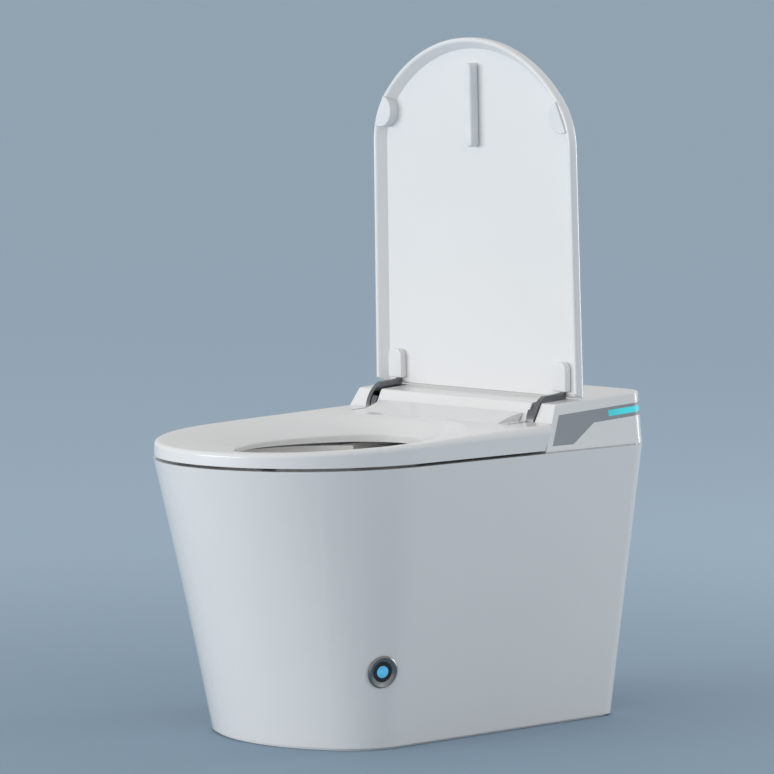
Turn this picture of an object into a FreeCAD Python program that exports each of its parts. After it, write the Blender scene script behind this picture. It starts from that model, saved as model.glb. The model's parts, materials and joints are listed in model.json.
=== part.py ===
import FreeCAD, Part
import math
import os
import re

import Sketcher
from FreeCAD import Placement, Rotation, Vector

# Bidet toilet, modelled with its lid open and its seat down.
# Millimetres, Z up, front toward -Y, origin on the floor under the middle of the plan.

doc = FreeCAD.newDocument("bidet_toilet")
sheet = doc.addObject("Spreadsheet::Sheet", "Dim")

SIZES = (
    # ceramic body
    ("rim_height", 370),
    ("rim_half_width", 200),
    ("rim_front", 325),
    ("rim_rear", 325),
    ("rim_side_start", 110),
    ("rim_angle", 37),
    ("rear_corner", 28),
    ("foot_half_width", 156),
    ("foot_front", 217),
    ("foot_rear", 312),
    ("foot_angle", 56),
    ("foot_rise", 3),
    ("foot_inset", 5),
    ("ceramic_wall", 12),
    ("rim_wall", 20),
    ("deck", 60),
    ("well_depth", 30),
    ("well_front", 150),
    ("well_margin", 24),
    ("channel_depth", 47),
    ("channel_left", 80),
    ("channel_right", 44),
    ("window_half_width", 105),
    ("window_drop", 150),
    ("bolt_margin", 42),
    ("bolt_y", 262),
    ("bolt_radius", 5),
    ("bolt_head", 9),
    ("port_margin", 82),
    ("port_y", 282),
    ("inlet_radius", 12),
    ("gland_radius", 9),
    ("port_room", 5),
    ("mouth_y", -106),
    ("mouth_half_width", 116),
    ("mouth_half_length", 142),
    ("sump_y", -64),
    ("sump_depth", 222),
    ("sump_half_width", 36),
    ("trap_radius", 24),
    ("trap_wall", 10),
    ("trap_y", 118),
    ("trap_rise", 110),
    ("trap_low", 98),
    ("trap_bend", 40),
    ("drain_y", 20),
    ("drain_radius", 41),
    ("drain_wall", 4),
    ("seal_width", 13),
    ("seal_height", 16),
    ("drain_bend", 72),
    ("drain_height", 42),
    ("drain_seat", 28),
    ("jet_rise", 24),
    # seat
    ("seat_gap", 4),
    ("seat_margin", 1),
    ("seat_rise", 33),
    ("seat_rear_gap", 2.6),
    ("seat_slope", 2),
    ("seat_edge_front", 6),
    ("seat_edge_rear", 12),
    ("seat_wall", 8),
    ("seat_core_wall", 28),
    ("seat_ring_rear", 112),
    ("seat_hole_y", -88),
    ("seat_hole_half_width", 97),
    ("seat_hole_front", 132),
    ("seat_hole_rear", 150),
    ("seat_hole_angle", 30),
    ("seat_hole_rise", 13),
    ("seat_hole_slope", 1),
    ("seat_hole_edge", 2.5),
    ("dish_side", 92),
    ("dish_front", 97),
    ("dish_rear", 36),
    ("pad_radius", 9),
    ("pad_margin", 45),
    ("pad_y", 60),
    ("front_pad_x", 80),
    ("front_pad_y", 265),
    ("ramp_front", 101),
    ("ramp_margin", 20),
    ("ramp_slope", 16),
    ("ramp_nose", 1.5),
    ("scoop_radius", 61),
    ("bridge_sunk", 3),
    # rear unit
    ("cover_front", 122),
    ("cover_gap", 2),
    ("cover_rise", 62),
    ("cover_side_lean", 13.6),
    ("cover_front_lean", 28.4),
    ("cover_rear_lean", 1),
    ("cover_flare", 8),
    ("cover_top_slope", 3.2),
    ("cover_wall", 4),
    ("cover_edge", 3.5),
    ("gate_rise", 28),
    ("panel_depth", 2),
    ("panel_start", 10),
    ("panel_low", 9),
    ("panel_high", 48),
    ("panel_step", 177),
    ("panel_notch", 220),
    ("panel_waist", 34.5),
    ("panel_bend", 9),
    ("bar_start", 249),
    ("bar_low", 41),
    ("bar_high", 49),
    ("button_y", 192),
    ("button_rise", 38.5),
    ("button_radius", 9),
    ("slot_half_width", 8.5),
    ("clearance", 0.3),
    # hinge
    ("hinge_margin", 49),
    ("hinge_y", 182),
    ("hinge_rise", 33),
    ("pin_radius", 5),
    ("pin_play", 0.05),
    ("hub_radius", 11),
    ("arm_thick", 7),
    ("arm_sole", 5),
    ("bracket_wall", 5.5),
    ("bracket_half_depth", 13),
    ("drive_half_depth", 20),
    ("motor_radius", 15),
    ("motor_rise", 28),
    ("lid_arm_reach", 41.6),
    ("seat_arm_reach", 40.6),
    ("seat_arm_foot", 66),
    # lid
    ("lid_lean", 1.7),
    ("lid_offset", 10),
    ("lid_top", 509),
    ("lid_base", 40.5),
    ("lid_base_margin", 9.5),
    ("lid_margin", 14),
    ("lid_round", 146),
    ("lid_angle", 39.3),
    ("lid_thick", 18),
    ("lid_recess", 13),
    ("lid_lip", 12),
    ("lid_draft", 3),
    ("lid_back_edge", 8),
    ("lid_rim_edge", 3),
    ("lug_half_width", 12.5),
    ("lug_height", 40),
    ("lug_front", 2),
    ("lug_wall", 2.5),
    ("side_buffer_radius", 22),
    ("strip_half_width", 6),
    ("strip_low", 147),
    ("strip_high", 34),
    ("buffer_stand", 2.6),
    # nozzle
    ("nozzle_tip_y", 75),
    ("nozzle_tip_drop", 22),
    ("nozzle_slope", 15),
    ("wand_radius", 7),
    ("wand_length", 190),
    ("tip_length", 12),
    ("wand_bore", 3),
    ("rack_start", 86),
    ("rack_count", 28),
    ("rack_half_width", 2.5),
    ("pinion_y", 95),
    ("shaft_radius", 2.5),
    ("stepper_radius", 13),
    ("stepper_length", 19),
    ("cradle_half_width", 15),
    ("cradle_floor", 13),
    ("cradle_top", 4),
    ("cradle_nose", 20),
    ("pinion_teeth", 16),
    ("tooth_module", 1),
    ("gate_half_width", 22),
    ("gate_wall", 5),
    ("shutter_y", -34.6),
    ("shutter_z", 18.5),
    ("duct_left", 74),
    ("duct_right", 30),
    ("duct_length", 98),
    ("duct_wall", 2),
    ("flap_y", -21.4),
    ("flap_z", 2.6),
    ("blower_y", 246),
    ("blower_height", 46),
    # foot sensor
    ("sensor_y", -143),
    ("sensor_z", 104),
    ("sensor_radius", 21.5),
    ("lens_radius", 13.6),
    ("dot_radius", 8),
    # flush, hose and electrics
    ("tank_half_width", 98),
    ("tank_front", 186),
    ("tank_length", 80),
    ("tank_height", 118),
    ("pump_y", 222),
    ("pump_drop", 150),
    ("pump_radius", 28),
    ("pump_half_length", 40),
    ("hose_radius", 8),
    ("hose_bore", 5.5),
    ("hose_x", 112),
    ("hose_bend", 30),
    ("base_thick", 4),
    ("valve_height", 30),
    ("heater_start", 24),
    ("heater_y", 259),
    ("heater_half_length", 31),
    ("heater_height", 40),
    ("board_height", 18),
)
for row, (alias, value) in enumerate(SIZES, 1):
    sheet.set(f"A{row}", alias)
    sheet.set(f"B{row}", str(value))
    sheet.setAlias(f"B{row}", alias)
doc.recompute()

ALIASES = {alias for alias, value in SIZES}

# Places that follow from the width at the rim, so that the insides keep together when it changes.
FOLLOWING = {
    "hinge_x": "(rim_half_width - hinge_margin)",
    "lid_base_half_width": "(rim_half_width - lid_base_margin)",
    "lid_half_width": "(rim_half_width - lid_margin)",
    "port_x": "(rim_half_width - port_margin)",
    "bolt_x": "(rim_half_width - bolt_margin)",
    "pad_x": "(rim_half_width - pad_margin)",
    "ramp_half_width": "(hinge_x - ramp_margin)",
    "drive_width": "((hinge_x - slot_half_width - bracket_wall - duct_left - 3) / 2)",
    "blower_radius": "((port_x - duct_right - 20) / 2)",
    "blower_x": "(duct_right - 2 + blower_radius)",
    "heater_end": "(port_x - 26)",
}


def bound(text):
    """A size expression with every sheet name written the way FreeCAD looks it up."""
    def full(found):
        word = found.group()
        if word in FOLLOWING:
            return bound(FOLLOWING[word])
        return "Dim." + word if word in ALIASES else word
    return re.sub(r"[a-z_]\w*", full, str(text))


def number(text):
    """The present value of a size expression."""
    value = sheet.evalExpression(bound(text))
    return float(getattr(value, "Value", value))


NODES = []


def node(solid, label):
    """Names a finished piece and puts it on the list of files to write."""
    solid.Label = label
    NODES.append(solid)
    return solid


TURNS = {
    "x": Rotation(Vector(0, 1, 0), 90),
    "y": Rotation(Vector(1, 0, 0), -90),
    "z": Rotation(),
}
# Each drawing plane: its rotation, the axis it is moved along, and the sign of its normal on that axis.
PLANES = {
    "xy": (Rotation(), "z", 1),
    "yz": (Rotation(Vector(1, 1, 1), 120), "x", 1),
    "xz": (Rotation(Vector(1, 0, 0), 90), "y", -1),
}


def at(solid, x="0", y="0", z="0"):
    """Binds a piece's position to size expressions."""
    for axis, text in zip("xyz", (x, y, z)):
        solid.setExpression(f"Placement.Base.{axis}", bound(text))
    return solid


def turned_to(solid, angle, x="0", y="0", z="0"):
    """Turns a piece about X by a bound angle and moves it to a bound position."""
    solid.Placement = Placement(Vector(), Rotation(Vector(1, 0, 0), number(angle)))
    solid.setExpression("Placement.Rotation.Angle", bound(angle))
    solid.setExpression("Placement.Rotation.Axis.x", "1")
    solid.setExpression("Placement.Rotation.Axis.y", "0")
    solid.setExpression("Placement.Rotation.Axis.z", "0")
    return at(solid, x, y, z)


def box(x, y, z, name="block"):
    """A block between a low and a high expression on each axis."""
    solid = doc.addObject("Part::Box", name)
    for side, axis, (low, high) in zip(("Length", "Width", "Height"), "xyz", (x, y, z)):
        solid.setExpression(side, bound(f"({high}) - ({low})"))
        solid.setExpression(f"Placement.Base.{axis}", bound(low))
    return solid


def rod(radius, start, length, axis="z", name="rod"):
    """A cylinder from a start point along one axis."""
    solid = doc.addObject("Part::Cylinder", name)
    solid.Placement = Placement(Vector(), TURNS[axis])
    solid.setExpression("Radius", bound(radius))
    solid.setExpression("Height", bound(length))
    return at(solid, *start)


def ellipse(half_width, half_length, y, z, name="ring"):
    """A level ellipse whose longer half lies along Y."""
    ring = doc.addObject("Part::Ellipse", name)
    ring.Placement = Placement(Vector(), Rotation(Vector(0, 0, 1), 90))
    ring.setExpression("MajorRadius", bound(half_length))
    ring.setExpression("MinorRadius", bound(half_width))
    return at(ring, "0", y, z)


def draw(sketch, points, arcs):
    """Draws a closed outline; arcs maps an edge to its radius and to +1 (bulging out) or -1."""
    count = len(points)
    spots = [Vector(number(x), number(y), 0) for x, y in points]
    for i in range(count):
        a, b = spots[i], spots[(i + 1) % count]
        if i not in arcs:
            sketch.addGeometry(Part.LineSegment(a, b), False)
            continue
        radius, side = number(arcs[i][0]), arcs[i][1]
        chord = b - a
        rise = math.sqrt(max(radius ** 2 - chord.Length ** 2 / 4, 0))
        centre = (a + b) * 0.5 + Vector(-chord.y, chord.x, 0).normalize() * rise * side
        first = math.atan2(a.y - centre.y, a.x - centre.x)
        last = math.atan2(b.y - centre.y, b.x - centre.x)
        ends = (first, last) if side > 0 else (last, first)
        sketch.addGeometry(Part.ArcOfCircle(Part.Circle(centre, Vector(0, 0, 1), radius), *ends), False)

    def start(i):
        return 2 if i in arcs and arcs[i][1] < 0 else 1

    for i in range(count):
        after = (i + 1) % count
        sketch.addConstraint(Sketcher.Constraint("Coincident", i, 3 - start(i), after, start(after)))
    for i, pair in enumerate(points):
        for kind, text in zip(("DistanceX", "DistanceY"), pair):
            k = sketch.addConstraint(Sketcher.Constraint(kind, -1, 1, i, start(i), number(text)))
            sketch.setExpression(f"Constraints[{k}]", bound(text))
    for i, (radius, side) in arcs.items():
        k = sketch.addConstraint(Sketcher.Constraint("Radius", i, number(radius)))
        sketch.setExpression(f"Constraints[{k}]", bound(radius))
    return sketch


def outline(points, arcs=None, level="0", plane="xy", name="outline"):
    """A free sketch of a closed outline, set on a plane at a bound level."""
    sketch = doc.addObject("Sketcher::SketchObject", name)
    turn, axis = PLANES[plane][:2]
    sketch.Placement = Placement(Vector(), turn)
    draw(sketch, points, arcs or {})
    sketch.setExpression(f"Placement.Base.{axis}", bound(level))
    return sketch


def prism(points, low, high, plane="xy", arcs=None, name="prism"):
    """An outline pushed straight from a low level to a high one."""
    sign = PLANES[plane][2]
    sketch = outline(points, arcs, low if sign > 0 else high, plane, name + "_outline")
    solid = doc.addObject("Part::Extrusion", name)
    solid.Base = sketch
    solid.DirMode = "Normal"
    solid.Solid = True
    solid.setExpression("LengthFwd", bound(f"({high}) - ({low})"))
    return solid


def loft(sections, ruled=True, name="loft"):
    solid = doc.addObject("Part::Loft", name)
    solid.Sections = sections
    solid.Solid = True
    solid.Ruled = ruled
    return solid


def joined(*parts, name="joined"):
    solid = doc.addObject("Part::MultiFuse", name)
    solid.Shapes = list(parts)
    return solid


def shared(*parts, name="shared"):
    solid = doc.addObject("Part::MultiCommon", name)
    solid.Shapes = list(parts)
    return solid


def cut(base, *tools, name="cut"):
    solid = doc.addObject("Part::Cut", name)
    solid.Base = base
    solid.Tool = tools[0] if len(tools) == 1 else joined(*tools, name=name + "_tools")
    return solid


def group(*parts, name="group"):
    solid = doc.addObject("Part::Compound", name)
    solid.Links = list(parts)
    return solid


def mirrored(solid, name="mirrored"):
    """The same piece on the other side of the middle plane."""
    twin = doc.addObject("Part::Mirroring", name)
    twin.Source = solid
    twin.Normal = Vector(1, 0, 0)
    return twin


def rounded(base, radius, chosen, name="rounded"):
    """Rounds the edges that a test picks, by one radius or by a function that gives it at each end."""
    doc.recompute()
    picked = []
    for i, edge in enumerate(base.Shape.Edges, 1):
        if chosen(edge):
            ends = [edge.Vertexes[0].Point, edge.Vertexes[-1].Point]
            picked.append((i, *[number(radius(end) if callable(radius) else radius) for end in ends]))
    solid = doc.addObject("Part::Fillet", name)
    solid.Base = base
    solid.Edges = picked
    return solid


def upright(edge):
    """Whether an edge is a straight line along Z."""
    a, b = edge.Vertexes[0].Point, edge.Vertexes[-1].Point
    return len(edge.Vertexes) == 2 and (b - a).Length > 1 and abs((b - a).z) > 0.999 * (b - a).Length


def turned(name, profile):
    """A PartDesign body turned about its Z axis from points given as radius and height."""
    body = doc.addObject("PartDesign::Body", name)
    sketch = body.newObject("Sketcher::SketchObject", name + "_profile")
    plane = next(f for f in body.Origin.OriginFeatures if f.Role == "XZ_Plane")
    sketch.AttachmentSupport = [(plane, "")]
    sketch.MapMode = "FlatFace"
    draw(sketch, profile, {})
    doc.recompute()
    solid = body.newObject("PartDesign::Revolution", name + "_turn")
    solid.Profile = sketch
    solid.ReferenceAxis = (sketch, ["V_Axis"])
    solid.Angle = 360
    return body


def route(points, bend):
    """A wire of straight runs through points given as numbers, with a tangent arc at each inner point."""
    spots = [Vector(*point) for point in points]
    edges = []
    start = spots[0]
    for before, corner, after in zip(spots, spots[1:], spots[2:]):
        back = (before - corner).normalize()
        ahead = (after - corner).normalize()
        half = back.getAngle(ahead) / 2
        first = corner + back * (bend / math.tan(half))
        last = corner + ahead * (bend / math.tan(half))
        middle = corner + (back + ahead).normalize() * (bend / math.sin(half) - bend)
        edges.append(Part.makeLine(start, first))
        edges.append(Part.Arc(first, middle, last).toShape())
        start = last
    edges.append(Part.makeLine(start, spots[-1]))
    return Part.Wire(edges)


def pipe(points, bend, radius, name="pipe"):
    """A round bar swept along straight runs and tangent arcs."""
    heading = Vector(*points[1]) - Vector(*points[0])
    sweep = Part.BRepOffsetAPI.MakePipeShell(route(points, bend))
    sweep.setFrenetMode(False)
    sweep.add(Part.Wire(Part.makeCircle(radius, Vector(*points[0]), heading)))
    sweep.build()
    sweep.makeSolid()
    solid = doc.addObject("Part::Feature", name)
    solid.Shape = sweep.shape()
    return solid


def front_arc(half_width, depth, angle):
    """Front and corner radius of a round end, and where the two arcs meet, measured from the side start."""
    spare = f"(sin({angle}) + cos({angle}) - 1)"
    radius = f"((({half_width}) * sin({angle}) - ({depth}) * (1 - cos({angle}))) / {spare})"
    corner = f"((({depth}) * cos({angle}) - ({half_width}) * (1 - sin({angle}))) / {spare})"
    return radius, corner, f"({radius} * cos({angle}))", f"(-{corner} * sin({angle}))"


def plan(half_width, front, start, angle, rear, rear_corner):
    """Plan of the toilet: a round front, straight sides and small rear corners."""
    radius, corner, reach, drop = front_arc(half_width, f"({front}) - {start}", angle)
    points = [
        (f"-({reach})", f"-{start} + {drop}"),
        (reach, f"-{start} + {drop}"),
        (half_width, f"-{start}"),
        (half_width, f"({rear}) - {rear_corner}"),
        (f"({half_width}) - {rear_corner}", rear),
        (f"{rear_corner} - ({half_width})", rear),
        (f"-({half_width})", f"({rear}) - {rear_corner}"),
        (f"-({half_width})", f"-{start}"),
    ]
    arcs = {0: (radius, 1), 1: (corner, 1), 3: (rear_corner, 1), 5: (rear_corner, 1), 7: (corner, 1)}
    return points, arcs


def egg(half_width, middle, front, rear, angle):
    """Closed oval of six arcs with its own length to the front and to the rear."""
    front_radius, front_corner, front_reach, front_drop = front_arc(half_width, front, angle)
    rear_radius, rear_corner, rear_reach, rear_drop = front_arc(half_width, rear, angle)
    points = [
        (f"-({front_reach})", f"{middle} + {front_drop}"),
        (front_reach, f"{middle} + {front_drop}"),
        (half_width, middle),
        (rear_reach, f"{middle} - ({rear_drop})"),
        (f"-({rear_reach})", f"{middle} - ({rear_drop})"),
        (f"-({half_width})", middle),
    ]
    arcs = {0: (front_radius, 1), 1: (front_corner, 1), 2: (rear_corner, 1), 3: (rear_radius, 1),
            4: (rear_corner, 1), 5: (front_corner, 1)}
    return points, arcs


# Ceramic bowl: a tapered skirt, a deck with a well for the rear unit, the basin and the trapway, cast as one.

def skirt(inset, rim_inset, low, high, name):
    """Ruled skirt between the floor and the rim, taken in by an inset at each end."""
    foot = plan(f"foot_half_width - {inset}", f"foot_front - {inset}", "rim_side_start", "foot_angle",
                f"foot_rear - {inset}", "rear_corner")
    rim = plan(f"rim_half_width - {rim_inset}", f"rim_front - {rim_inset}", "rim_side_start", "rim_angle",
               f"rim_rear - {rim_inset}", "rear_corner")
    ends = [outline(*foot, level=low, name=name + "_foot"), outline(*rim, level=high, name=name + "_rim")]
    return loft(ends, name=name)


def basin(grow, top, floor, name):
    """Smooth basin through four ellipses, grown by a wall thickness for its outside."""
    rings = [ellipse(f"mouth_half_width + {grow}", f"mouth_half_length + {grow}", "mouth_y", top,
                     name + "_mouth"), ellipse(f"mouth_half_width * 0.9 + {grow}",
                                               f"mouth_half_length * 0.9 + {grow}", "mouth_y + 4",
                                               "rim_height - 80", name + "_waist"),
             ellipse(f"mouth_half_width * 0.57 + {grow}", f"mouth_half_length * 0.55 + {grow}",
                     "mouth_y + 30", "rim_height - sump_depth * 0.7", name + "_throat"),
             ellipse(f"sump_half_width + {grow}", f"sump_half_width + 8 + {grow}", "sump_y", floor,
                     name + "_sump"), ]
    return loft(rings, ruled=False, name=name)


skirt_outer = skirt("0", "0", "foot_rise", "rim_height", "skirt_outer")
skirt_hollow = skirt("ceramic_wall", "rim_wall", "-1", "rim_height - deck", "skirt_hollow")
foot_plan = plan("foot_half_width - foot_inset", "foot_front - foot_inset", "rim_side_start",
                 "foot_angle", "foot_rear - foot_inset", "rear_corner")
foot_ring = prism(foot_plan[0], "0", "foot_rise + 1", arcs=foot_plan[1], name="foot_ring")
basin_outer = basin("ceramic_wall", "rim_height - 10", "rim_height - sump_depth - ceramic_wall",
                    "basin_outer")
basin_inner = basin("0", "rim_height + 0.1", "rim_height - sump_depth", "basin_inner")

# The trapway climbs from the sump to its crest, drops behind it and swings forward to the outlet.
TRAP = [("sump_y", "rim_height - sump_depth + trap_radius + 2"),
        ("trap_y", "rim_height - sump_depth + trap_rise"), ("trap_y", "trap_low"),
        ("drain_y", "drain_bend"), ("drain_y", "drain_seat")]
trap_points = [(0, number(y), number(z)) for y, z in TRAP]
trap_bend = number("trap_bend")
trap_outer = pipe(trap_points, trap_bend, number("trap_radius + trap_wall"), "trap_outer")
trap_inner = pipe(trap_points, trap_bend, number("trap_radius"), "trap_inner")

well = box(("well_margin - rim_half_width", "rim_half_width - well_margin"),
           ("well_front", "rim_rear - well_margin"), ("rim_height - well_depth", "rim_height + 1"),
           "well")
channel = box(("-channel_left", "channel_right"), ("mouth_y + mouth_half_length - 18", "well_front + 1"),
              ("rim_height - channel_depth", "rim_height + 1"), "channel")
service_window = box(("-window_half_width", "window_half_width"), ("foot_rear - 40", "rim_rear + 1"),
                     ("-1", "rim_height - window_drop"), "service_window")
deck_low = "rim_height - deck - 1"
inlet_hole = rod("inlet_radius + port_room", ("-port_x", "port_y", deck_low), "deck", name="inlet_hole")
gland_hole = rod("gland_radius + port_room", ("port_x", "port_y", deck_low), "deck", name="gland_hole")
bolt_holes = [rod("bolt_radius + 0.5", (x, "bolt_y", deck_low), "deck", name="bolt_hole")
              for x in ("-bolt_x", "bolt_x")]
jet_z = "rim_height - sump_depth + jet_rise"
jet_hole = rod("hose_radius + clearance", ("-sump_half_width - 40", "sump_y", jet_z), "40", "x", "jet_hole")

# The sensor sits square to the skirt at the given height and depth.
doc.recompute()
sensor_start = Vector(0, number("sensor_y"), number("sensor_z"))
probe = Part.makeLine(sensor_start, sensor_start + Vector(2 * number("rim_half_width"), 0, 0))
sensor_point = max((v.Point for v in probe.common(skirt_outer.Shape).Vertexes), key=lambda p: p.x)
sensor_face = min(skirt_outer.Shape.Faces, key=lambda f: f.distToShape(Part.Vertex(sensor_point))[0])
sensor_normal = sensor_face.normalAt(*sensor_face.Surface.parameter(sensor_point))
sensor_frame = Placement(sensor_point, Rotation(Vector(0, 0, 1), sensor_normal))

sensor_hole = rod("sensor_radius - 3.5", ("0", "0", "-40"), "60", name="sensor_hole")
sensor_hole = group(sensor_hole, name="sensor_hole_placed")
sensor_hole.Placement = sensor_frame

shell = joined(cut(skirt_outer, skirt_hollow, name="skirt"), cut(foot_ring, skirt_hollow, name="foot_rim"),
               basin_outer, trap_outer, name="shell")
ceramic = cut(shell, basin_inner, trap_inner, well, channel, service_window, inlet_hole, gland_hole,
              *bolt_holes, jet_hole, sensor_hole, name="ceramic")
node(ceramic, "ceramic_bowl")


def washer(radius, hole, low, high, name):
    """A PartDesign ring about Z."""
    return turned(name, [(hole, low), (radius, low), (radius, high), (hole, high)])


def disc(radius, low, high, name):
    """A PartDesign disc about Z."""
    return turned(name, [("0", low), (radius, low), (radius, high), ("0", high)])


def screw(head, head_high, shank, length, name):
    """A PartDesign screw about Z, its head above zero and its shank below."""
    return turned(name, [("0", f"-({length})"), (shank, f"-({length})"), (shank, "0"), (head, "0"),
                         (head, head_high), ("0", head_high)])


# Drain: a connector over the ceramic outlet and the soft ring that seals it.
connector = turned("connector",
                   [("trap_radius + 6", "drain_height"), ("drain_radius", "drain_height"),
                    ("drain_radius", "0"), ("drain_radius - drain_wall", "0"),
                    ("drain_radius - drain_wall", "drain_seat - 8"),
                    ("trap_radius + 6", "drain_seat - 2")])
at(connector, "0", "drain_y", "0")
horn_room = pipe(trap_points, trap_bend, number("trap_radius + trap_wall + 0.2"), "horn_room")
node(cut(connector, horn_room, name="connector_fitted"), "drain_connector")
seal = washer("drain_radius + seal_width", "drain_radius", "0", "seal_height", "seal")
node(at(seal, "0", "drain_y", "0"), "drain_seal")

# Foot sensor: everything shares the frame that stands square on the skirt.
bezel = turned("bezel", [("sensor_radius - 3.6", "-16"), ("sensor_radius - 3.6", "0.15"),
                         ("sensor_radius", "0.15"), ("sensor_radius", "1"), ("sensor_radius - 2", "3"),
                         ("sensor_radius - 5", "2.2"), ("lens_radius + 0.1", "0.4"),
                         ("lens_radius + 0.1", "-16")])
window = washer("lens_radius", "dot_radius + 0.1", "-6", "0.2", "window")
light = disc("dot_radius", "-6", "0.6", "light")
sensor_case = disc("lens_radius", "-30", "-6", "sensor_case")
sensor_ring = washer("sensor_radius + 1", "sensor_radius - 3.5", "-18", "-6", "sensor_ring")
for solid in (bezel, window, light, sensor_case, sensor_ring):
    solid.Placement = sensor_frame
for solid, label in ((bezel, "sensor_bezel"), (window, "sensor_window"), (light, "sensor_light"),
                     (sensor_case, "sensor_case")):
    node(solid, label)
# The gasket behind the wall follows its curve, so it is trimmed by the skirt it presses on.
skirt_wall = cut(skirt_outer, skirt_hollow, name="skirt_wall")
node(cut(sensor_ring, skirt_wall, name="sensor_pad"), "sensor_gasket")

# Rear unit cover: a leaning shell with hinge slots, a nozzle gate and pockets for the dark side panels.
cover_height = "(cover_rise + 20)"


def cover_block(inset, low, name):
    """Block of the rear unit, leaning less toward the rear, taken in by an inset on every side and on top."""
    def level(height):
        half = f"(rim_half_width - ({height}) * tan(cover_side_lean) - {inset})"
        back = f"({half} + ({height}) * tan(cover_flare))"
        front = f"(cover_front + ({height}) * tan(cover_front_lean) + {inset})"
        rear = f"(rim_rear - ({height}) * tan(cover_rear_lean) - {inset})"
        bend = f"(rear_corner - {inset})"
        points = [(f"-{half}", front), (half, front), (back, f"{rear} - {bend}"), (f"{back} - {bend}", rear),
                  (f"{bend} - {back}", rear), (f"-{back}", f"{rear} - {bend}")]
        arcs = {2: (bend, 1), 4: (bend, 1)}
        return outline(points, arcs, f"rim_height + {height}", name=name + "_level")
    block = loft([level(low), level(cover_height)], name=name)
    above = box(("-300", "300"), ("0", "400"), ("0", "80"), name + "_above")
    drop = "(20 + cover_rise * tan(cover_front_lean)) * tan(cover_top_slope)"
    turned_to(above, "cover_top_slope", "-300", "cover_front - 20",
              f"rim_height + cover_rise - {inset} - {drop}")
    return cut(block, above, name=name + "_topped")


def on_top(edge):
    """Whether an edge lies on the sloping top of the cover."""
    slope = math.tan(math.radians(number("cover_top_slope")))
    base_y = number("cover_front + cover_rise * tan(cover_front_lean)")
    base_z = number("rim_height + cover_rise")
    return all(abs(v.Point.z - base_z - (v.Point.y - base_y) * slope) < 0.01 for v in edge.Vertexes)


cover_solid = rounded(cover_block("0", "cover_gap", "cover_outer"), "cover_edge", on_top, "cover_solid")
cover_cavity = cover_block("cover_wall", "cover_gap - 1", "cover_cavity")
lip_height = box(("-300", "300"), ("0", "400"), ("rim_height", "rim_height + cover_gap + 8"), "lip_height")
lip_walls = cut(cover_block("(cover_wall - 0.5)", "0", "lip_outer"),
                cover_block("(cover_wall + 3)", "-1", "lip_inner"), name="lip_walls")
cover_lip = shared(lip_walls, lip_height, name="cover_lip")
panel_floor = cover_block("panel_depth", "-1", "panel_floor")
panel_bed = cover_block("(panel_depth + 0.1)", "-1", "panel_bed")

panel_end = "rim_rear + 20"
panel_foot = "cover_front + panel_start + panel_low * tan(cover_front_lean)"
panel_head = "cover_front + panel_start + panel_high * tan(cover_front_lean)"


def climb(height, start, y):
    """Level at a depth y of a line that starts at a height above the rim and climbs like the cover's top."""
    return f"rim_height + {height} + (({y}) - ({start})) * tan(cover_top_slope)"


def on_panel_bend(edge):
    """Whether an edge is one of the two bends in the panel's lower side."""
    points = [v.Point for v in edge.Vertexes]
    along = abs(points[0].x - points[-1].x) > 10
    return along and all(number("panel_step - 1") < p.y < number("panel_notch + 1") for p in points)


PANEL = [(panel_foot, "rim_height + panel_low"), ("panel_step", "rim_height + panel_low"),
         ("panel_notch", "rim_height + panel_waist"),
         (panel_end, climb("panel_waist", "panel_notch", panel_end)),
         (panel_end, climb("panel_high", panel_head, panel_end)), (panel_head, "rim_height + panel_high")]
BAR = [("bar_start", "rim_height + bar_low"), (panel_end, climb("bar_low", "bar_start", panel_end)),
       (panel_end, climb("bar_high", "bar_start", panel_end)), ("bar_start", "rim_height + bar_high")]
panel_area = prism(PANEL, "rim_half_width - 55", "rim_half_width + 20", "yz", name="panel_area")
panel_area = rounded(panel_area, "panel_bend", on_panel_bend, "panel_area_bent")
bar_area = prism(BAR, "rim_half_width - 45", "rim_half_width + 20", "yz", name="bar_area")
panel_skin = cut(cover_solid, panel_floor, name="panel_skin")
panel = cut(shared(panel_area, panel_skin, name="panel_blank"), bar_area, name="panel")
bar = shared(bar_area, panel_skin, panel_area, name="bar")
panel_pocket = shared(panel_area, cut(cover_solid, panel_bed, name="panel_bed_skin"), name="panel_pocket")

hinge_slots = [box((f"{x} - slot_half_width", f"{x} + slot_half_width"),
                   ("cover_front - 32", "hinge_y + lid_offset + 16"),
                   ("rim_height + hinge_rise - hub_radius - 10", "rim_height + 120"), "hinge_slot")
               for x in ("-hinge_x", "hinge_x")]
nozzle_gate = box(("2 - channel_left", "channel_right - 2"), ("cover_front - 32", "well_front + 2"),
                  ("rim_height - 5", "rim_height + gate_rise"), "nozzle_gate")
button_z = "rim_height + button_rise"
button_hole = rod("button_radius + 0.4", ("-rim_half_width - 10", "button_y", button_z), "60", "x",
                  "button_hole")
cover_shell = joined(cut(cover_solid, cover_cavity, name="cover_hollow"), cover_lip, name="cover_shell")
cover = cut(cover_shell, panel_pocket, mirrored(panel_pocket, "panel_pocket_left"), *hinge_slots, nozzle_gate,
            button_hole, name="cover")
node(cover, "unit_cover")
node(panel, "side_panel_right")
node(cut(mirrored(panel, "panel_left"), button_hole, name="panel_left_cut"), "side_panel_left")
node(bar, "light_bar_right")
node(mirrored(bar, "bar_left"), "light_bar_left")

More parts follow.
